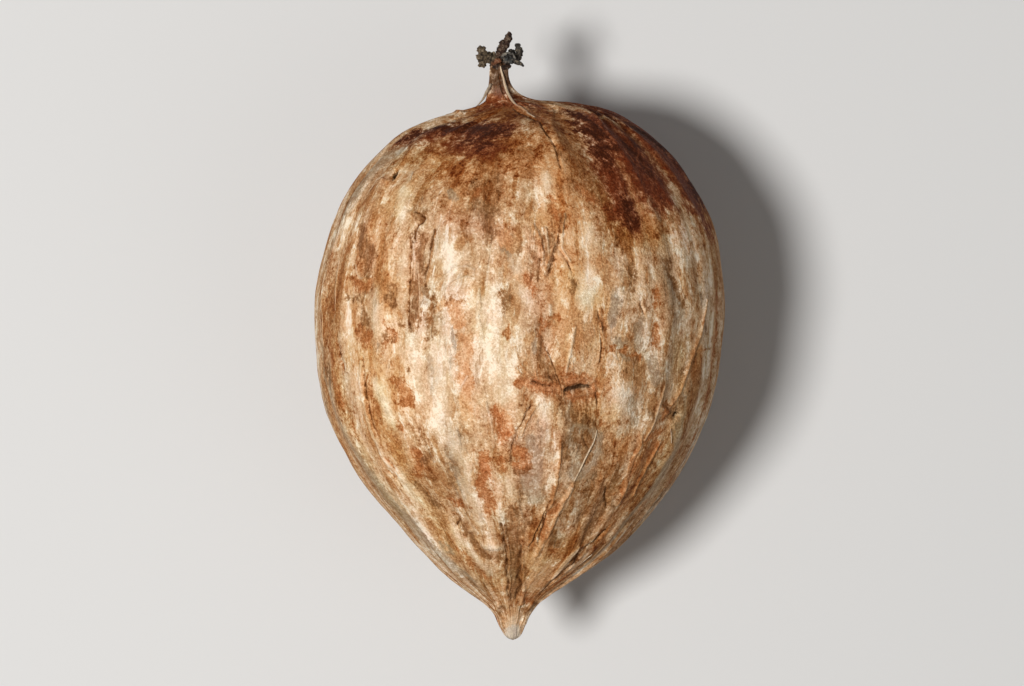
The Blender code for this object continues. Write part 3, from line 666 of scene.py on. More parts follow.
class PecanShellSettings(bpy.types.PropertyGroup):
    ridge_height: FloatProperty(
        name="Ridge height",
        description="How far the lengthwise ridges of the flanks stand out",
        default=0.00012,
        unit="LENGTH",
        precision=6,
    )
    columns: IntProperty(
        name="Columns", description="Lengthwise rows of faces round the shell", default=284, min=40
    )
    rings: IntProperty(name="Rings", description="Rings of faces along the shell", default=206, min=40)
    upper_share: FloatProperty(
        name="Finer on top",
        description="How much closer the columns stand on the upper side",
        default=0.42,
        max=0.8,
    )
    fibre_height: FloatProperty(
        name="Fibre height",
        description="Height of the fine lengthwise fibres",
        default=0.000026,
        unit="LENGTH",
        precision=6,
    )
    lump_height: FloatProperty(
        name="Lump height",
        description="Height of the small lumps",
        default=0.000045,
        unit="LENGTH",
        precision=6,
    )
    tannin: FloatProperty(name="Tannin", description="How brown the clean skin is", default=0.46, min=0)
    soot: FloatProperty(name="Soot", description="How grey the clean skin is", default=0.12, min=0)
    flush: FloatProperty(name="Flush", description="How pink the skin is", default=-0.02)
    roughness: FloatProperty(
        name="Roughness", description="Roughness of the skin", default=0.66, subtype="FACTOR"
    )


class PecanStigmaSettings(bpy.types.PropertyGroup):
    voxel: FloatProperty(
        name="Voxel", description="Size of the faces", default=0.000032, unit="LENGTH", precision=6
    )
    crumbs: IntProperty(
        name="Crumbs", description="How many crumbs cover each ball of a lobe", default=7, min=0
    )
    crumb_size: FloatProperty(
        name="Crumb size",
        description="Radius of an average crumb",
        default=0.00009,
        unit="LENGTH",
        precision=6,
    )
    shrivel_height: FloatProperty(
        name="Shrivel height",
        description="Depth of the withered folds",
        default=0.00008,
        unit="LENGTH",
        precision=6,
    )
    colour: FloatVectorProperty(
        name="Colour",
        description="Colour of the crumbs of withered tissue",
        subtype="COLOR",
        default=(0.40, 0.31, 0.21),
    )


class PecanFibreSettings(bpy.types.PropertyGroup):
    stand_off: FloatProperty(
        name="Stand off",
        description="How far the split fibre bows off the neck",
        default=0.00007,
        unit="LENGTH",
        precision=6,
    )
    wasting: FloatProperty(
        name="Wasting",
        description="How much the grey fibre has shrunk",
        default=0.00001,
        unit="LENGTH",
        precision=6,
    )
    voxel: FloatProperty(
        name="Voxel", description="Size of the faces", default=0.000018, unit="LENGTH", precision=6
    )
    colour: FloatVectorProperty(
        name="Colour", description="Colour of the pale fibres", subtype="COLOR", default=(0.62, 0.47, 0.31)
    )


class PecanStageSettings(bpy.types.PropertyGroup):
    camera_distance: FloatProperty(
        name="Camera distance", description="From the camera to the nut's axis", default=0.27, unit="LENGTH"
    )
    key_power: FloatProperty(
        name="Key light", description="Power of the key light", default=1.43, unit="POWER"
    )
    fill_power: FloatProperty(
        name="Fill light", description="Power of the fill light", default=0.12, unit="POWER"
    )
    sky: FloatProperty(name="Sky", description="Strength of the light all round", default=0.15, min=0)
    floor_colour: FloatVectorProperty(
        name="Floor", description="Colour of the floor", subtype="COLOR", default=(0.58, 0.57, 0.555)
    )


class Wire:
    """A socket whose values can be added, multiplied and so on, each time with a Math node."""

    def __init__(self, finish, socket):
        self.finish = finish
        self.socket = socket

    def with_math(self, operation, *others, clamp=False):
        settings = {"operation": operation, "use_clamp": clamp}
        return self.finish.node("ShaderNodeMath", settings, dict(enumerate((self, *others))))

    def __add__(self, other):
        return self.with_math("ADD", other)

    __radd__ = __add__

    def __mul__(self, other):
        return self.with_math("MULTIPLY", other)

    __rmul__ = __mul__

    def __sub__(self, other):
        return self.with_math("SUBTRACT", other)

    def __rsub__(self, other):
        return (self * -1) + other

    def __neg__(self):
        return self * -1

    def clamped(self):
        return self.with_math("ADD", 0, clamp=True)

    def exp(self):
        return self.with_math("EXPONENT")

    def at_least(self, other):
        return self.with_math("MAXIMUM", other)

    def blend(self, other, share):
        """This value where the share is 0, the other one where it is 1."""
        return self + (other - self) * share

    def step(self, start, full):
        """Rises smoothly from 0 at start to 1 at full."""
        sockets = {"Value": self, "From Min": start, "From Max": full}
        return self.finish.node("ShaderNodeMapRange", {"interpolation_type": "SMOOTHSTEP"}, sockets)


SURFACE_SOCKETS = {
    "base_color": "Base Color",
    "roughness": "Roughness",
    "specular_ior_level": "Specular IOR Level",
    "normal": "Normal",
}


class Finish:
    """A material and the nodes that make its look."""

    def __init__(self, name):
        self.material = bpy.data.materials.new(name)
        self.material.use_nodes = True
        self.tree = self.material.node_tree
        self.surface = self.tree.nodes["Principled BSDF"]

    def feed(self, socket, value):
        """Gives a socket a value, or a link from a wire."""
        if isinstance(value, Wire):
            self.tree.links.new(value.socket, socket)
        else:
            socket.default_value = value

    def node(self, kind, settings, sockets, output=0):
        """Adds a node: its settings come first, then the values and links of its sockets."""
        made = self.tree.nodes.new(kind)
        for name, value in settings.items():
            setattr(made, name, value)
        for name, value in sockets.items():
            self.feed(made.inputs[name], value)
        return Wire(self, made.outputs[output])

    def set_surface(self, **values):
        for name, value in values.items():
            self.feed(self.surface.inputs[SURFACE_SOCKETS[name]], value)

    def attribute(self, name, output="Fac"):
        """What the mesh keeps for each vertex under a name."""
        return self.node("ShaderNodeAttribute", {"attribute_name": name}, {}, output)

    def length(self, vector):
        return self.node("ShaderNodeVectorMath", {"operation": "LENGTH"}, {0: vector}, "Value")

    def object_mm(self):
        """The place in the piece's own frame, in millimetres."""
        coordinates = self.node("ShaderNodeTexCoord", {}, {}, "Object")
        return self.stretched(coordinates, (1000, 1000, 1000))

    def stretched(self, vector, factors):
        sockets = {0: vector, 1: factors, 2: (0, 0, 0)}
        return self.node("ShaderNodeVectorMath", {"operation": "MULTIPLY_ADD"}, sockets)

    def shifted(self, vector, other, amount):
        """The vector with an amount of another one added."""
        scaled = self.node("ShaderNodeVectorMath", {"operation": "SCALE"}, {0: other, "Scale": amount})
        return self.node("ShaderNodeVectorMath", {"operation": "ADD"}, {0: vector, 1: scaled})

    def noise(self, vector, detail, roughness, output="Fac"):
        sockets = {"Vector": vector, "Scale": 1, "Detail": detail, "Roughness": roughness}
        return self.node("ShaderNodeTexNoise", {}, sockets, output)

    def swing(self, vector, size_mm, detail=3, roughness=0.6, seed=0, turn=(0, 0, 0)):
        """Noise about zero, mostly from -0.5 to 0.5.

        Its features are as large as size_mm, (across, along, across), in the vector's millimetres.
        """
        sockets = {
            "Vector": vector,
            "Location": tuple(seed * step for step in SEED_STEP),
            "Rotation": turn,
            "Scale": tuple(1 / size for size in size_mm),
        }
        placed = self.node("ShaderNodeMapping", {}, sockets)
        return (self.noise(placed, detail, roughness) - 0.5) * 2

    def pigment(self, tannin, soot, flush):
        """The colour of skin that holds so much tannin, which browns it, and soot, which greys it.

        Flush makes it pinker, or greener where it is negative.
        """
        absorbed = [
            tannin * brown + soot + flush * pink for brown, pink in zip(TANNIN_SHARES, FLUSH_SHARES)
        ]
        return self.node("ShaderNodeCombineColor", {}, dict(enumerate((-part).exp() for part in absorbed)))

    def mix(self, first, second, share):
        return self.node("ShaderNodeMix", {"data_type": "RGBA"}, {0: share, 6: first, 7: second}, 2)

    def bump(self, height_mm):
        sockets = {"Height": height_mm, "Distance": MM, "Strength": 1}
        return self.node("ShaderNodeBump", {}, sockets, "Normal")


class PackedNut:
    """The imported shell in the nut's own frame, whose Y runs along the axis through the tip and the neck."""

    def __init__(self, shell):
        points = [shell.matrix_world @ vertex.co for vertex in shell.data.vertices]
        tip = min(points, key=lambda point: point.y)
        end = max(points, key=lambda point: point.y)
        tilt = math.atan2(end.z - tip.z, end.y - tip.y)
        height = tip.z - math.tan(tilt) * tip.y
        self.to_world = Matrix.Translation((0, 0, height)) @ Euler((tilt, 0, 0)).to_matrix().to_4x4()
        self.from_world = self.to_world.inverted()
        self.axis_height = height
        local = [self.from_world @ point for point in points]
        self.skin = BVHTree.FromPolygons(local, [tuple(face.vertices) for face in shell.data.polygons])
        self.first, self.last = min(p.y for p in local), max(p.y for p in local)
        self.sample_profile()

    def sample_profile(self, samples=400, edge=0.00002, outside=0.05):
        """Reads the middle and the half width of the nut along its axis, from rays cast from outside it."""
        self.along = np.linspace(self.first + edge, self.last - edge, samples)
        left = [self.skin.ray_cast(Vector((-outside, y, 0)), Vector((1, 0, 0)))[0].x for y in self.along]
        right = [self.skin.ray_cast(Vector((outside, y, 0)), Vector((-1, 0, 0)))[0].x for y in self.along]
        self.middles = (np.array(left) + np.array(right)) / 2
        self.radii = (np.array(right) - np.array(left)) / 2
        self.lengths = np.hypot(np.diff(self.along), np.diff(self.radii))

    def middle(self, along):
        """How far to the side the nut's middle lies at a place along the axis."""
        return np.interp(along, self.along, self.middles)

    def radius(self, along):
        """The half width of the nut at a place along the axis."""
        return np.interp(along, self.along, self.radii)

    def over_skin(self, along):
        """How far it is over the skin from the tip to a place along the axis."""
        return np.interp(along, self.along, np.concatenate(([0], np.cumsum(self.lengths))))

    def ring_places(self, rings, full_step_radius=0.004, finest=0.2):
        """Where rings lie along the axis: closer together where the nut is slim."""
        radii = (self.radii[1:] + self.radii[:-1]) / 2
        steps = finest + (1 - finest) * np.minimum(1, radii / full_step_radius)
        travelled = np.concatenate(([0], np.cumsum(self.lengths / steps)))
        return np.interp(np.linspace(0, travelled[-1], rings + 1), travelled, self.along)

    def beside(self, pixel_x, pixel_y, lift):
        """The world point at a pixel of the photograph that lies a lift above the axis."""
        across, along = photo_place(pixel_x, pixel_y)
        return Vector((across, along, (self.to_world @ Vector((0, along, 0))).z + lift))

    def seen_at(self, pixel_x, pixel_y):
        """The point of the shell that the camera sees at a pixel of the photograph."""
        aim = Vector((*photo_place(pixel_x, pixel_y), self.axis_height))
        eye = camera_place(self.axis_height)
        start = self.from_world @ eye
        direction = (self.from_world.to_3x3() @ (aim - eye)).normalized()
        hit = self.skin.ray_cast(start, direction)[0]
        if hit is None:
            hit = self.skin.find_nearest(self.from_world @ aim)[0]
        return hit


def photo_place(pixel_x, pixel_y):
    """Where a pixel of the photograph lies, as (across, along), at the height of the nut's axis."""
    return (pixel_x - NUT_MIDDLE_PIXEL[0]) * PIXEL, (NUT_MIDDLE_PIXEL[1] - pixel_y) * PIXEL


def camera_place(axis_height):
    """The camera looks straight down on the middle of the photograph."""
    distance = bpy.context.scene.pecan_stage.camera_distance
    return Vector((*photo_place(PHOTO_WIDTH / 2, PHOTO_HEIGHT / 2), axis_height + distance))


def rise(values, start, full):
    """Rises smoothly from 0 at start to 1 at full, for a whole array."""
    share = np.clip((values - start) / (full - start), 0, 1)
    return share * share * (3 - 2 * share)


def nearest_in_strokes(points, strokes, nut):
    """The nearest stroke to each point: the depth inside it, the way from its middle and its half width.

    All three are in millimetres. Outside every stroke the depth is negative.
    """
    depth = np.full(len(points), -MARK_REACH_MM)
    ways = np.full((len(points), 3), MARK_REACH_MM)
    half_widths = np.zeros(len(points))
    reach = MARK_REACH_MM * MM
    for stroke in strokes:
        line = np.array([nut.seen_at(x, y) for x, y, _ in stroke])
        widths = np.array([half_width * PIXEL for _, _, half_width in stroke])
        low = line.min(0) - widths.max() - reach
        high = line.max(0) + widths.max() + reach
        near = np.nonzero(((points > low) & (points < high)).all(1))[0]
        for start, end, first, last in zip(line, line[1:], widths, widths[1:]):
            step = end - start
            share = np.clip((points[near] - start) @ step / (step @ step), 0, 1)
            way = (points[near] - start - share[:, None] * step) / MM
            half_width = (first + share * (last - first)) / MM
            inside = half_width - np.linalg.norm(way, axis=1)
            closer = inside > depth[near]
            chosen = near[closer]
            depth[chosen] = inside[closer]
            ways[chosen] = way[closer]
            half_widths[chosen] = half_width[closer]
    return depth, ways, half_widths


def depth_in_strokes(points, strokes, nut):
    """How far each point is inside the nearest stroke, in millimetres: negative outside."""
    return nearest_in_strokes(points, strokes, nut)[0]


def noise_field(points, size):
    """Smooth noise at each point, about -0.5 to 0.5.

    Its features are about as large as size, which is one length or (x, y, z).
    """
    scaled = points / np.array(size)
    return np.array([noise.noise(Vector(point)) for point in scaled])


def bent(points, bends):
    """The points pushed about by smooth noise, so that what is drawn there gets a wandering outline."""
    moved = points.copy()
    for size, far in bends:
        for axis, shift in enumerate(BEND_SHIFTS):
            moved[:, axis] += far * noise_field(points + np.array(shift), size)
    return moved


def turns_round(points, nut):
    """The angle of each point round the nut's axis, from straight up."""
    return np.arctan2(points[:, 0] - nut.middle(points[:, 1]), points[:, 2])


def grain_coordinates(points, nut):
    """Each point on a cylinder as wide as the nut, so that its grain runs from end to end."""
    angles = turns_round(points, nut)
    girth = nut.radii.max()
    return np.column_stack((np.sin(angles) * girth, nut.over_skin(points[:, 1]), np.cos(angles) * girth))


def smooth_grid(grid, passes):
    """Averages each point of a grid with its neighbours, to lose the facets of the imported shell."""
    for _ in range(passes):
        grid = (np.roll(grid, 1, axis=1) + 2 * grid + np.roll(grid, -1, axis=1)) / 4
        grid[1:-1] = (grid[:-2] + 2 * grid[1:-1] + grid[2:]) / 4
    return grid


def shell_grid(nut, settings, passes=14):
    """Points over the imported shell, as (ring, column).

    The columns stand closer together on the upper side.
    """
    even = np.arange(settings.columns) * 2 * math.pi / settings.columns
    angles = even - settings.upper_share * np.sin(even)
    places = nut.ring_places(settings.rings)
    grid = np.zeros((settings.rings + 1, settings.columns, 3))
    for ring, along in enumerate(places):
        centre = Vector((nut.middle(along), along, 0))
        grid[ring] = centre
        if 0 < ring < settings.rings:
            for column, angle in enumerate(angles):
                outward = Vector((math.sin(angle), 0, math.cos(angle)))
                hit = nut.skin.ray_cast(centre, outward)[0]
                grid[ring, column] = hit if hit else centre
    grid[0, :, 1] = nut.first
    grid[-1, :, 1] = nut.last
    return smooth_grid(grid, passes)


def split_near_marks(net, nut, margin_mm):
    """Halves the faces that lie on the fine marks, or within a margin of them."""
    centres = bent(np.array([face.calc_center_median() for face in net.faces]), FINE_MARK_BENDS)
    depth = np.max([depth_in_strokes(centres, MARKS[name], nut) for name in FINE_MARKS], axis=0)
    near = [face for face, inside in zip(list(net.faces), depth) if inside > -margin_mm]
    edges = list(dict.fromkeys(edge for face in near for edge in face.edges))
    bmesh.ops.subdivide_edges(net, edges=edges, cuts=1, use_grid_fill=True)


def make_shell_mesh(nut, settings):
    """A ball pulled on to the grid of the shell, with finer faces near the fine marks."""
    grid = shell_grid(nut, settings)
    net = bmesh.new()
    bmesh.ops.create_uvsphere(net, u_segments=settings.columns, v_segments=settings.rings, radius=1)
    for vertex in net.verts:
        ring = round(math.acos(min(max(-vertex.co.z, -1.0), 1.0)) / math.pi * settings.rings)
        turn = math.atan2(vertex.co.x, vertex.co.y) / (2 * math.pi)
        vertex.co = grid[ring, round(turn * settings.columns) % settings.columns]
    bmesh.ops.reverse_faces(net, faces=net.faces)
    for margin_mm in SPLIT_MARGINS_MM:
        split_near_marks(net, nut, margin_mm)
    mesh = bpy.data.meshes.new("nut_shell")
    net.to_mesh(mesh)
    net.free()
    return mesh


def read_vectors(collection, attribute):
    """One vector of each item of a collection, as an array."""
    values = np.empty(len(collection) * 3)
    collection.foreach_get(attribute, values)
    return values.reshape(-1, 3)


def store(mesh, name, values):
    """Keeps a value, or a vector, for each vertex, where the material finds it."""
    kind = "FLOAT_VECTOR" if values.ndim == 2 else "FLOAT"
    key = "vector" if values.ndim == 2 else "value"
    mesh.attributes.new(name, kind, "POINT").data.foreach_set(key, values.ravel())


def shell_relief(points, grain, depths, nut, settings):
    """How far the skin stands out at each point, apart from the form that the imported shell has."""
    slim = 1 - rise(nut.radius(points[:, 1]), 0.0006, 0.003)
    fibres = noise_field(grain, (0.0005, 0.005, 0.0005))
    fibres += 0.6 * noise_field(grain, (0.00022, 0.0022, 0.00022))
    flank = rise(np.abs(turns_round(points, nut)), 0.35, 0.9)
    ridges = noise_field(grain, (0.0011, 0.011, 0.0011)) * (0.4 + flank) * (1 - slim)
    lumps = noise_field(points, 0.0022)
    lumps += 0.6 * noise_field(points, 0.0009)
    lumps += 0.3 * noise_field(points, 0.0004)
    height = settings.fibre_height * fibres + settings.lump_height * lumps * (1 - 0.5 * slim)
    height += settings.ridge_height * ridges
    for name, relief in RELIEF_MM.items():
        height += relief * MM * rise(depths[name], -RELIEF_EDGE_MM[name], RELIEF_EDGE_MM[name] / 2)
    return height


def shell_finish(settings):
    """Weathered skin, coloured by tannin, which browns it, soot, which greys it, and a pink flush."""
    finish = Finish("nut_shell")
    straight = finish.attribute("grain", "Vector")
    place = finish.object_mm()
    wander = finish.noise(finish.stretched(straight, (0.55, 0.22, 0.55)), 4, 0.6, "Color")
    grain = finish.shifted(straight, wander, 1.8)

    turned, turned_again = (0.7, 0.5, 0.9), (1.2, 0.3, 0.6)
    crumbs = finish.swing(place, (0.12, 0.12, 0.12), 2, 0.8, 0, turned)
    grit = finish.swing(place, (0.34, 0.36, 0.34), 4, 0.8, 1, turned_again)
    clumps = finish.swing(place, (0.90, 0.95, 0.90), 6, 0.75, 7, turned)
    from_neck = finish.attribute("from_neck")
    fibrous = from_neck.step(3.2, 7.5)
    ragged = grit.blend(finish.swing(grain, (0.50, 1.6, 0.50), 6, 0.72, 2), fibrous)
    threads = finish.swing(grain, (0.16, 1.6, 0.16), 3, 0.65, 3) * (fibrous + 1 - from_neck.step(1.6, 2.4))
    streaks = finish.swing(grain, (0.5, 7.0, 0.5), 4, 0.65, 4) * fibrous
    mottles = clumps.blend(finish.swing(grain, (1.0, 3.6, 1.0), 6, 0.66, 5), fibrous)
    blotches = finish.swing(place, (1.5, 1.5, 1.5), 5, 0.7, 9, turned_again)
    blotches = blotches.blend(finish.swing(grain, (1.3, 5.0, 1.3), 6, 0.66, 8), fibrous)
    broad = finish.swing(grain, (3.5, 9.0, 3.5), 3, 0.5, 6)
    hidden = 1 - finish.attribute("up").step(-0.35, 0.15)
    unseen = {
        "stain": (6 + broad * 12 + clumps * 5 + blotches * 3 - from_neck).step(-2.5, 2.0),
        "rust": (mottles + clumps * 0.5 - 0.24).step(0.0, 0.05),
        "brown": (blotches + threads * 0.3 - 0.27).step(0.0, 0.05),
        "grey": (streaks * 0.6 - mottles * 0.8 - 0.20).step(0.0, 0.08),
    }
    edge = ragged * 0.5 + grit * 0.4
    crumbled = clumps * 0.8 + grit * 0.5

    def mark(name, softness, ragged_share=1.0, raggedness=edge, thinner=0.0):
        """How fully one kind of mark covers the skin, from 0 to 1."""
        depth = finish.attribute(name)
        if name not in THIN_LINES:
            return (depth + raggedness * ragged_share - thinner).step(-softness, softness)
        near = depth.step(*LINE_END_MM)
        half_width = finish.attribute(name + "_half_width")
        depth = half_width - finish.length(finish.attribute(name + "_way", "Vector"))
        return (depth + raggedness * ragged_share - thinner).step(-softness, softness) * near

    # The paler marks hold real paler skin and a painted highlight on the middle of the nut; the greyer ones
    # hold real grey weathering and painted shade along its limbs
    paler_and_highlight, greyer_and_shade = mark("paler_and_highlight", 0.6, 1.8), mark("greyer_and_shade", 0.6, 1.8)
    browner = mark("browner", 0.9, 1.4, crumbled)
    paler_and_highlight = paler_and_highlight + hidden * (broad * 2 + streaks).step(0.1, 0.5)
    browner = browner + hidden * (broad * -2 + mottles * 0.6 - 0.1).step(0.0, 0.6)
    scorched = mark("scorched", 0.6, 1.4, crumbled) * 0.75
    flush = settings.flush + mark("pinkish", 0.8, 1.5) * 0.05 + (clumps - mottles) * 0.06
    yellowish = mark("yellowish", 0.8, 1.5)
    tannin = settings.tannin + browner * 0.20 - paler_and_highlight * 0.18 - greyer_and_shade * 0.03 + yellowish * 0.13
    flush = flush - yellowish * 0.04
    tannin = tannin.blend(0.90, scorched)
    # Greyer marks add soot, partly as painted shade along the limbs
    soot = settings.soot + greyer_and_shade * 0.26 + browner * 0.03 - paler_and_highlight * 0.08 + scorched * 0.28
    soot = soot - mark("lighter", 0.8, 1.8) * 0.24

    flaked = (mottles + ragged * 0.25 + broad * 0.3 + browner * 0.05 - 0.09).step(-0.04, 0.08)
    scurf = (blotches - clumps * 0.5 - grit * 0.2 + paler_and_highlight * 0.10 - browner * 0.04 - 0.10).step(-0.06, 0.22)
    sooty = (blotches * -1 + grit * 0.3 + greyer_and_shade * 0.16 - 0.30).step(-0.02, 0.08)
    dark_threads = (threads + streaks * 0.6 + greyer_and_shade * 0.06 + browner * 0.05 - 0.34).step(0.0, 0.16)
    rusty_crumbs = (grit + clumps * 0.7 + browner * 0.08 - paler_and_highlight * 0.12 - 0.27).step(0.0, 0.07)
    veins = (streaks + threads * 0.30 - 0.17).step(0.0, 0.10)
    grooves = (streaks * -1 + threads * 0.30 - 0.22).step(0.0, 0.10)
    flank = 1 - finish.attribute("up").step(0.62, 0.94)
    ridges = finish.swing(straight, (1.1, 11.0, 1.1), 2, 0.5, 10) * fibrous * flank
    scurf = scurf * (1 - scorched)
    tannin = tannin + flaked * 0.18 - scurf * 0.16 + dark_threads * 0.10 + rusty_crumbs * 0.20
    tannin = tannin - veins * 0.12 + grooves * 0.10 - ridges * 0.45
    soot = soot + sooty * 0.40 + dark_threads * 0.22 - scurf * 0.05 + flaked * 0.03 + rusty_crumbs * 0.16
    soot = soot - veins * 0.10 + grooves * 0.22 - ridges * 0.20

    # Mark, softness of its edge, how ragged, ragged by what, thinner by, tannin, soot, strength
    layers = (
        ("grey", 0.12, 1.0, edge, 0.0, 0.36, 0.58, 0.85),
        ("tan", 0.10, 0.9, edge, 0.0, 0.55, 0.00, 0.95),
        # Cream skin, with a painted highlight on the middle of the nut
        ("cream_and_highlight", 0.30, 1.3, edge, 0.0, 0.25, 0.00, 0.85),
        ("rust", 0.12, 1.1, edge, 0.0, 0.84, 0.12, 0.82),
        ("brown", 0.14, 1.1, edge, 0.0, 0.68, 0.60, 0.80),
        ("stain", 0.80, 1.9, crumbled, 0.0, 1.12, 0.86, 0.95),
        ("neck", 0.30, 1.0, edge, 0.0, 0.50, 1.60, 0.95),
        ("ash", 0.20, 0.8, edge, 0.0, 0.42, 0.90, 0.70),
        # The darkest stain, partly painted shade in its hollows and along the limbs
        ("stain_depths_and_shade", 0.50, 1.8, crumbled, 0.0, 1.02, 1.9, 0.90),
        ("chalk", 0.15, 0.6, edge, 0.0, 0.12, 0.16, 0.9),
        ("pale_lines", 0.05, 0.30, edge, -0.01, 0.30, -0.02, 0.75),
        ("rusty_lines", 0.05, 0.30, edge, 0.0, 0.66, 0.12, 0.8),
        ("cracks", 0.06, 0.30, edge, 0.025, 0.86, 1.05, 0.85),
        ("pits", 0.05, 0.3, edge, 0.0, 0.65, 2.2, 1.0),
    )
    masks = {}
    for name, softness, ragged_share, raggedness, thinner, its_tannin, its_soot, strength in layers:
        masks[name] = mark(name, softness, ragged_share, raggedness, thinner)
        if name in unseen:
            masks[name] = (masks[name] + hidden * unseen[name]).clamped()
        share = (masks[name] * (strength + crumbled * 0.9)).clamped()
        tannin = tannin.blend(its_tannin, share)
        soot = soot.blend(its_soot, share)

    # The stain together with its darkest parts, which hold painted shade
    stain_and_its_shade = (masks["stain"] + masks["stain_depths_and_shade"]).clamped()
    # The fine speckle is partly the grain of the skin and partly painted glints, where the noise lightens it
    speck_and_glint_strength = tannin * 1.3 + 0.35
    tannin = tannin + (mottles + ragged) * (0.19 - stain_and_its_shade * 0.12) + clumps * 0.22
    tannin = tannin + (grit * 0.32 + crumbs * 0.22) * speck_and_glint_strength
    soot = soot + (crumbs * 0.60 + grit * 0.36) * speck_and_glint_strength + clumps * 0.26 + threads * 0.10
    soot = soot + broad * 0.30 + mottles * 0.30 - blotches * 0.30
    soot = soot + masks["neck"] * (threads + streaks) * 0.9 + masks["brown"] * (threads * 0.7 + ragged * 0.4)
    flecks = masks["stain"] * (grit + clumps * 0.6).step(0.10, 0.30)
    soot = soot - flecks * 0.55
    tannin = tannin - flecks * 0.06
    flush = flush + stain_and_its_shade * 0.22 + masks["neck"] * 0.06 + masks["rust"] * 0.03
    tannin, soot = tannin.at_least(LEAST_TANNIN), soot.at_least(LEAST_SOOT)
    colour = finish.pigment(tannin, soot + SOOT_EVERYWHERE, flush)

    height = crumbs * 0.016 + grit * 0.035 + clumps * 0.03 + threads * 0.012 + mottles * 0.03
    height = height - flaked * 0.014 - dark_threads * 0.015 - masks["rust"] * 0.015
    height = height - masks["cracks"] * 0.05 + masks["pale_lines"] * 0.02 + masks["rusty_lines"] * 0.02
    rough = settings.roughness + crumbs * 0.12 + grit * 0.1 - masks["rust"] * 0.06 - masks["stain"] * 0.12
    finish.set_surface(
        base_color=colour,
        roughness=rough.clamped(),
        specular_ior_level=0.03,
        normal=finish.bump(height),
    )
    return finish.material


def stigma_finish(settings):
    """Dead tissue: each lobe in its own colour, with painted shade in its hollows and pale crumbs."""
    finish = Finish("withered_stigma")
    place = finish.object_mm()
    crumbs = finish.swing(place, (0.10, 0.10, 0.10), 5, 0.75, 0, (0.7, 0.5, 0.9))
    lumps = finish.swing(place, (0.30, 0.30, 0.30), 3, 0.6, 1, (0.2, 1.1, 0.4))
    # Painted shade in the low places of the bump
    hollow_shade = (lumps * -1 - crumbs * 0.7 + 0.02).step(0.0, 0.30)
    pale = (crumbs + lumps * 0.6 - 0.06).step(0.0, 0.22)
    tint = finish.attribute("tint", "Vector")
    colour = finish.mix(tint, (0.020, 0.015, 0.012, 1), hollow_shade * 0.8)
    colour = finish.mix(colour, (*settings.colour, 1), pale * 0.45)
    height = crumbs * 0.05 + lumps * 0.03
    finish.set_surface(base_color=colour, roughness=0.9, specular_ior_level=0.1, normal=finish.bump(height))
    return finish.material


def fibre_finish(settings, name, shade=1.0):
    """Dry fibre with duller threads along it. The shade is how light it is beside a pale one."""
    finish = Finish(name)
    place = finish.object_mm()
    threads = finish.swing(place, (0.06, 0.7, 0.06), 4, 0.6)
    dull = (threads + 0.1).step(-0.2, 0.5)
    light = [value * shade for value in settings.colour]
    dark = (light[0] * 0.5, light[1] * 0.42, light[2] * 0.36, 1)
    colour = finish.mix((*light, 1), dark, dull)
    finish.set_surface(base_color=colour, roughness=0.5, normal=finish.bump(threads * 0.01))
    return finish.material


def place_piece(name, mesh, material, node=None):
    """Adds a piece to the scene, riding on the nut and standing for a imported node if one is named."""
    piece = bpy.data.objects.new(name, mesh)
    bpy.context.scene.collection.objects.link(piece)
    mesh.materials.clear()
    mesh.materials.append(material)
    mesh.shade_smooth()
    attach(piece, "root")
    if node:
        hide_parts(node)
    return piece


def remeshed(mesh, voxel):
    """A mesh made whole, with small even faces."""
    loose = bpy.data.objects.new("loose", mesh)
    bpy.context.scene.collection.objects.link(loose)
    remesh = loose.modifiers.new("even faces", "REMESH")
    remesh.mode = "VOXEL"
    remesh.voxel_size = voxel
    evaluated = loose.evaluated_get(bpy.context.evaluated_depsgraph_get())
    whole = bpy.data.meshes.new_from_object(evaluated)
    bpy.data.objects.remove(loose)
    return whole


def strands_mesh(name, strokes, nut, lift=0.0):
    """Tapered fibres laid on the shell, as if drawn there. Their middles stand off it by the lift."""
    curve = bpy.data.curves.new(name, "CURVE")
    curve.dimensions = "3D"
    curve.bevel_depth = 1.0
    curve.bevel_resolution = 2
    curve.use_fill_caps = True
    for stroke in strokes:
        spline = curve.splines.new("NURBS")
        spline.points.add(len(stroke) - 1)
        for index, (point, (x, y, half_width)) in enumerate(zip(spline.points, stroke)):
            radius = half_width * PIXEL
            at = nut.to_world @ nut.seen_at(x, y)
            bow = math.sin(math.pi * index / (len(stroke) - 1))
            point.co = (at.x, at.y, at.z + radius * 0.8 + lift * bow, 1)
            point.radius = radius
        spline.order_u = 3
        spline.use_endpoint_u = True
        spline.resolution_u = 6
    loose = bpy.data.objects.new(name, curve)
    bpy.context.scene.collection.objects.link(loose)
    evaluated = loose.evaluated_get(bpy.context.evaluated_depsgraph_get())
    mesh = bpy.data.meshes.new_from_object(evaluated)
    bpy.data.objects.remove(loose)
    return mesh


def stigma_stations(nut):
    """Balls along the lobes of the stigma, as (middle, radius, colour)."""
    stations = []
    for colour, stroke in STIGMA_LOBES:
        for start, end in zip(np.array(stroke), np.array(stroke[1:])):
            steps = math.ceil(np.linalg.norm(end - start) / (0.5 * min(start[2], end[2])))
            for share in np.linspace(0, 1, steps + 1):
                x, y, radius, lift = start + share * (end - start)
                stations.append((nut.beside(x, y, lift * PIXEL), radius * PIXEL, STIGMA_COLOURS_WITH_SHADE[colour]))
    return stations


def unit_ball():
    """The points and the faces of a ball with a radius of 1."""
    net = bmesh.new()
    bmesh.ops.create_icosphere(net, subdivisions=2, radius=1)
    points = np.array([vertex.co for vertex in net.verts])
    faces = np.array([[vertex.index for vertex in face.verts] for face in net.faces])
    net.free()
    return points, faces


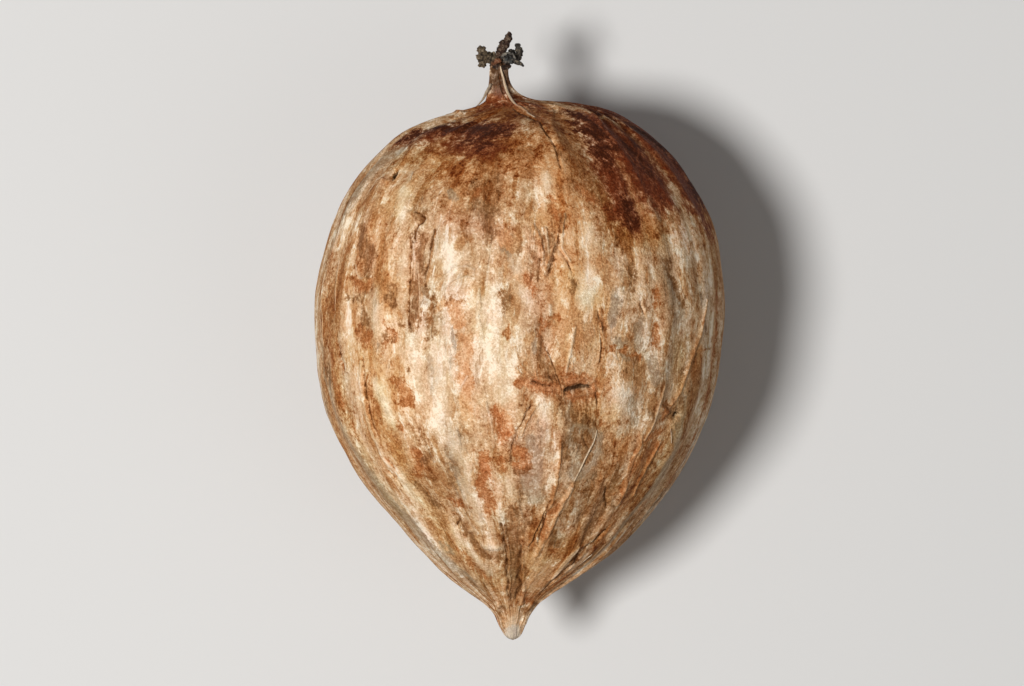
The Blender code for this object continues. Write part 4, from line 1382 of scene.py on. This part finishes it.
def crumbly_mesh(stations, settings, seed=7):
    """Every ball as a heap of crumbs round a small core."""
    chance = random.Random(seed)
    crumbs = []
    for middle, radius, _ in stations:
        crumbs.append((middle, radius * STIGMA_CORE))
        for _ in range(settings.crumbs):
            outward = Vector([chance.gauss(0, 1) for _ in range(3)]).normalized()
            size = min(chance.uniform(0.5, 1.5) * settings.crumb_size, radius * 0.6)
            crumbs.append((middle + outward * (radius * chance.uniform(0.7, 1.1) - size * 0.5), size))
    points, faces = unit_ball()
    all_points = np.concatenate([points * size + np.array(at) for at, size in crumbs])
    all_faces = np.concatenate([faces + index * len(points) for index in range(len(crumbs))])
    mesh = bpy.data.meshes.new("crumbs")
    mesh.from_pydata(all_points.tolist(), [], all_faces.tolist())
    return remeshed(mesh, settings.voxel)


def station_colours(points, stations):
    """The colour of each point, blended from the balls that it is near."""
    total = np.zeros((len(points), 3))
    weights = np.full((len(points), 1), 1e-9)
    for middle, radius, colour in stations:
        weight = np.exp(-3 * np.sum((points - np.array(middle)) ** 2, axis=1, keepdims=True) / radius**2)
        total += weight * np.array(colour)
        weights += weight
    return total / weights


def push_out(mesh, height):
    """Moves each vertex along its normal by a height that a function gives for an array of points."""
    points = read_vectors(mesh.vertices, "co")
    normals = read_vectors(mesh.vertices, "normal")
    moved = points + normals * height(points)[:, None]
    mesh.vertices.foreach_set("co", moved.ravel())
    mesh.update()


class PECAN_OT_shell(bpy.types.Operator):
    """Make the weathered shell"""

    bl_idname = "pecan.shell"
    bl_label = "Shell"

    def execute(self, context):
        settings = context.scene.pecan_shell
        nut = PackedNut(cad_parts["shell"])
        mesh = make_shell_mesh(nut, settings)
        points = read_vectors(mesh.vertices, "co")
        normals = read_vectors(mesh.vertices, "normal")
        grain = grain_coordinates(points, nut)
        marked, finely_marked = bent(points, MARK_BENDS), bent(points, FINE_MARK_BENDS)
        depths = {}
        for name, strokes in MARKS.items():
            placed = finely_marked if name in FINE_MARKS else marked
            depths[name], ways, half_widths = nearest_in_strokes(placed, strokes, nut)
            if name in THIN_LINES:
                store(mesh, name + "_way", ways - (ways * normals).sum(1)[:, None] * normals)
                store(mesh, name + "_half_width", half_widths)
        moved = points + normals * shell_relief(points, grain, depths, nut, settings)[:, None]
        floor_turn = np.array(nut.to_world.to_3x3())
        world = moved @ floor_turn.T + np.array(nut.to_world.translation)
        world[:, 2] = np.maximum(world[:, 2], 0)
        mesh.vertices.foreach_set("co", world.ravel())
        store(mesh, "grain", grain / MM)
        store(mesh, "up", np.cos(turns_round(points, nut)))
        store(mesh, "from_neck", (nut.last - points[:, 1]) / MM)
        for name, depth in depths.items():
            store(mesh, name, depth)
        mesh.update()
        place_piece("nut_shell", mesh, shell_finish(settings), "shell")
        return {"FINISHED"}


class PECAN_OT_stigma(bpy.types.Operator):
    """Make the withered stigma on the neck"""

    bl_idname = "pecan.stigma"
    bl_label = "Stigma"

    def execute(self, context):
        settings = context.scene.pecan_stigma
        nut = PackedNut(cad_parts["shell"])
        stations = stigma_stations(nut)
        mesh = crumbly_mesh(stations, settings)

        def shrivel(points):
            folds = noise_field(points, (0.00018, 0.00030, 0.00022))
            return settings.shrivel_height * (folds + 0.6 * noise_field(points, 0.00008))

        push_out(mesh, shrivel)
        store(mesh, "tint", station_colours(read_vectors(mesh.vertices, "co"), stations))
        place_piece("withered_stigma", mesh, stigma_finish(settings), "dried_stigma")
        return {"FINISHED"}


class PECAN_OT_neck_fibres(bpy.types.Operator):
    """Make the two fibres that have split off the neck"""

    bl_idname = "pecan.neck_fibres"
    bl_label = "Neck fibres"

    def execute(self, context):
        settings = context.scene.pecan_fibres
        nut = PackedNut(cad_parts["shell"])
        mesh = strands_mesh("split_fibre_right", [SPLIT_FIBRE], nut, settings.stand_off)
        place_piece("split_fibre_right", mesh, fibre_finish(settings, "pale_fibre"), "fibre_right")
        mesh = remeshed(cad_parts["fibre_left"].data.copy(), settings.voxel)

        def wrinkle(points):
            return WRINKLE_HEIGHT * noise_field(points, WRINKLE_SIZE) - settings.wasting

        push_out(mesh, wrinkle)
        finish = fibre_finish(settings, "grey_fibre", GREY_FIBRE_SHADE)
        place_piece("split_fibre_left", mesh, finish, "fibre_left")
        return {"FINISHED"}


class PECAN_OT_surface_fibres(bpy.types.Operator):
    """Lay the loose surface fibres on the shell"""

    bl_idname = "pecan.surface_fibres"
    bl_label = "Surface fibres"

    def execute(self, context):
        nut = PackedNut(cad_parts["shell"])
        mesh = strands_mesh("surface_fibres", SURFACE_FIBRES, nut)
        finish = fibre_finish(context.scene.pecan_fibres, "surface_fibre")
        place_piece("surface_fibres", mesh, finish)
        return {"FINISHED"}


class PECAN_OT_stage(bpy.types.Operator):
    """Make the floor, the lights and the camera"""

    bl_idname = "pecan.stage"
    bl_label = "Stage"

    def execute(self, context):
        settings = context.scene.pecan_stage
        axis_height = PackedNut(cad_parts["shell"]).axis_height
        self.make_floor(settings)
        self.make_light("key_light", KEY_LIGHT_PLACE, KEY_LIGHT_SIZE, settings.key_power)
        self.make_light("fill_light", FILL_LIGHT_PLACE, FILL_LIGHT_SIZE, settings.fill_power)
        world = context.scene.world or bpy.data.worlds.new("sky")
        context.scene.world = world
        world.use_nodes = True
        sky = world.node_tree.nodes["Background"]
        sky.inputs["Color"].default_value = (1, 1, 1, 1)
        sky.inputs["Strength"].default_value = settings.sky
        self.make_camera(settings, axis_height)
        context.scene.view_settings.view_transform = "Standard"
        return {"FINISHED"}

    def make_floor(self, settings):
        net = bmesh.new()
        bmesh.ops.create_grid(net, x_segments=8, y_segments=8, size=FLOOR_REACH)
        mesh = bpy.data.meshes.new("floor")
        net.to_mesh(mesh)
        net.free()
        floor = bpy.data.objects.new("floor", mesh)
        bpy.context.scene.collection.objects.link(floor)
        finish = Finish("floor")
        finish.set_surface(base_color=(*settings.floor_colour, 1), roughness=0.9)
        mesh.materials.append(finish.material)

    def make_light(self, name, place, size, power):
        light = bpy.data.lights.new(name, "AREA")
        light.shape = "DISK"
        light.size = size
        light.energy = power
        lamp = bpy.data.objects.new(name, light)
        lamp.location = place
        lamp.rotation_euler = (-Vector(place)).to_track_quat("-Z", "Y").to_euler()
        bpy.context.scene.collection.objects.link(lamp)

    def make_camera(self, settings, axis_height):
        camera = bpy.data.cameras.new("camera")
        camera.sensor_width = 36
        camera.lens = camera.sensor_width * settings.camera_distance / (PHOTO_WIDTH * PIXEL)
        camera.clip_start = 0.01
        holder = bpy.data.objects.new("camera", camera)
        holder.location = camera_place(axis_height)
        bpy.context.scene.collection.objects.link(holder)
        bpy.context.scene.camera = holder


class PECAN_PT_looks(bpy.types.Panel):
    """The nut's pieces and their settings"""

    bl_idname = "PECAN_PT_looks"
    bl_label = "Pecan in shell"
    bl_space_type = "VIEW_3D"
    bl_region_type = "UI"
    bl_category = "Pecan"

    def draw(self, context):
        for group in SETTINGS:
            box = self.layout.box()
            settings = getattr(context.scene, group)
            for name in settings.bl_rna.properties.keys():
                if name not in {"rna_type", "name"}:
                    box.prop(settings, name)
        for operator in OPERATORS:
            self.layout.operator(operator.bl_idname)


SETTINGS = {
    "pecan_shell": PecanShellSettings,
    "pecan_stigma": PecanStigmaSettings,
    "pecan_fibres": PecanFibreSettings,
    "pecan_stage": PecanStageSettings,
}
OPERATORS = (PECAN_OT_shell, PECAN_OT_stigma, PECAN_OT_neck_fibres, PECAN_OT_surface_fibres, PECAN_OT_stage)
CLASSES = (*SETTINGS.values(), *OPERATORS, PECAN_PT_looks)


def register():
    for cls in CLASSES:
        bpy.utils.register_class(cls)
    for name, settings in SETTINGS.items():
        setattr(bpy.types.Scene, name, PointerProperty(type=settings))


def unregister():
    for name in SETTINGS:
        delattr(bpy.types.Scene, name)
    for cls in reversed(CLASSES):
        bpy.utils.unregister_class(cls)


def main():
    register()
    bpy.ops.pecan.shell()
    bpy.ops.pecan.stigma()
    bpy.ops.pecan.neck_fibres()
    bpy.ops.pecan.surface_fibres()
    bpy.ops.pecan.stage()


if __name__ == "__main__":
    main()
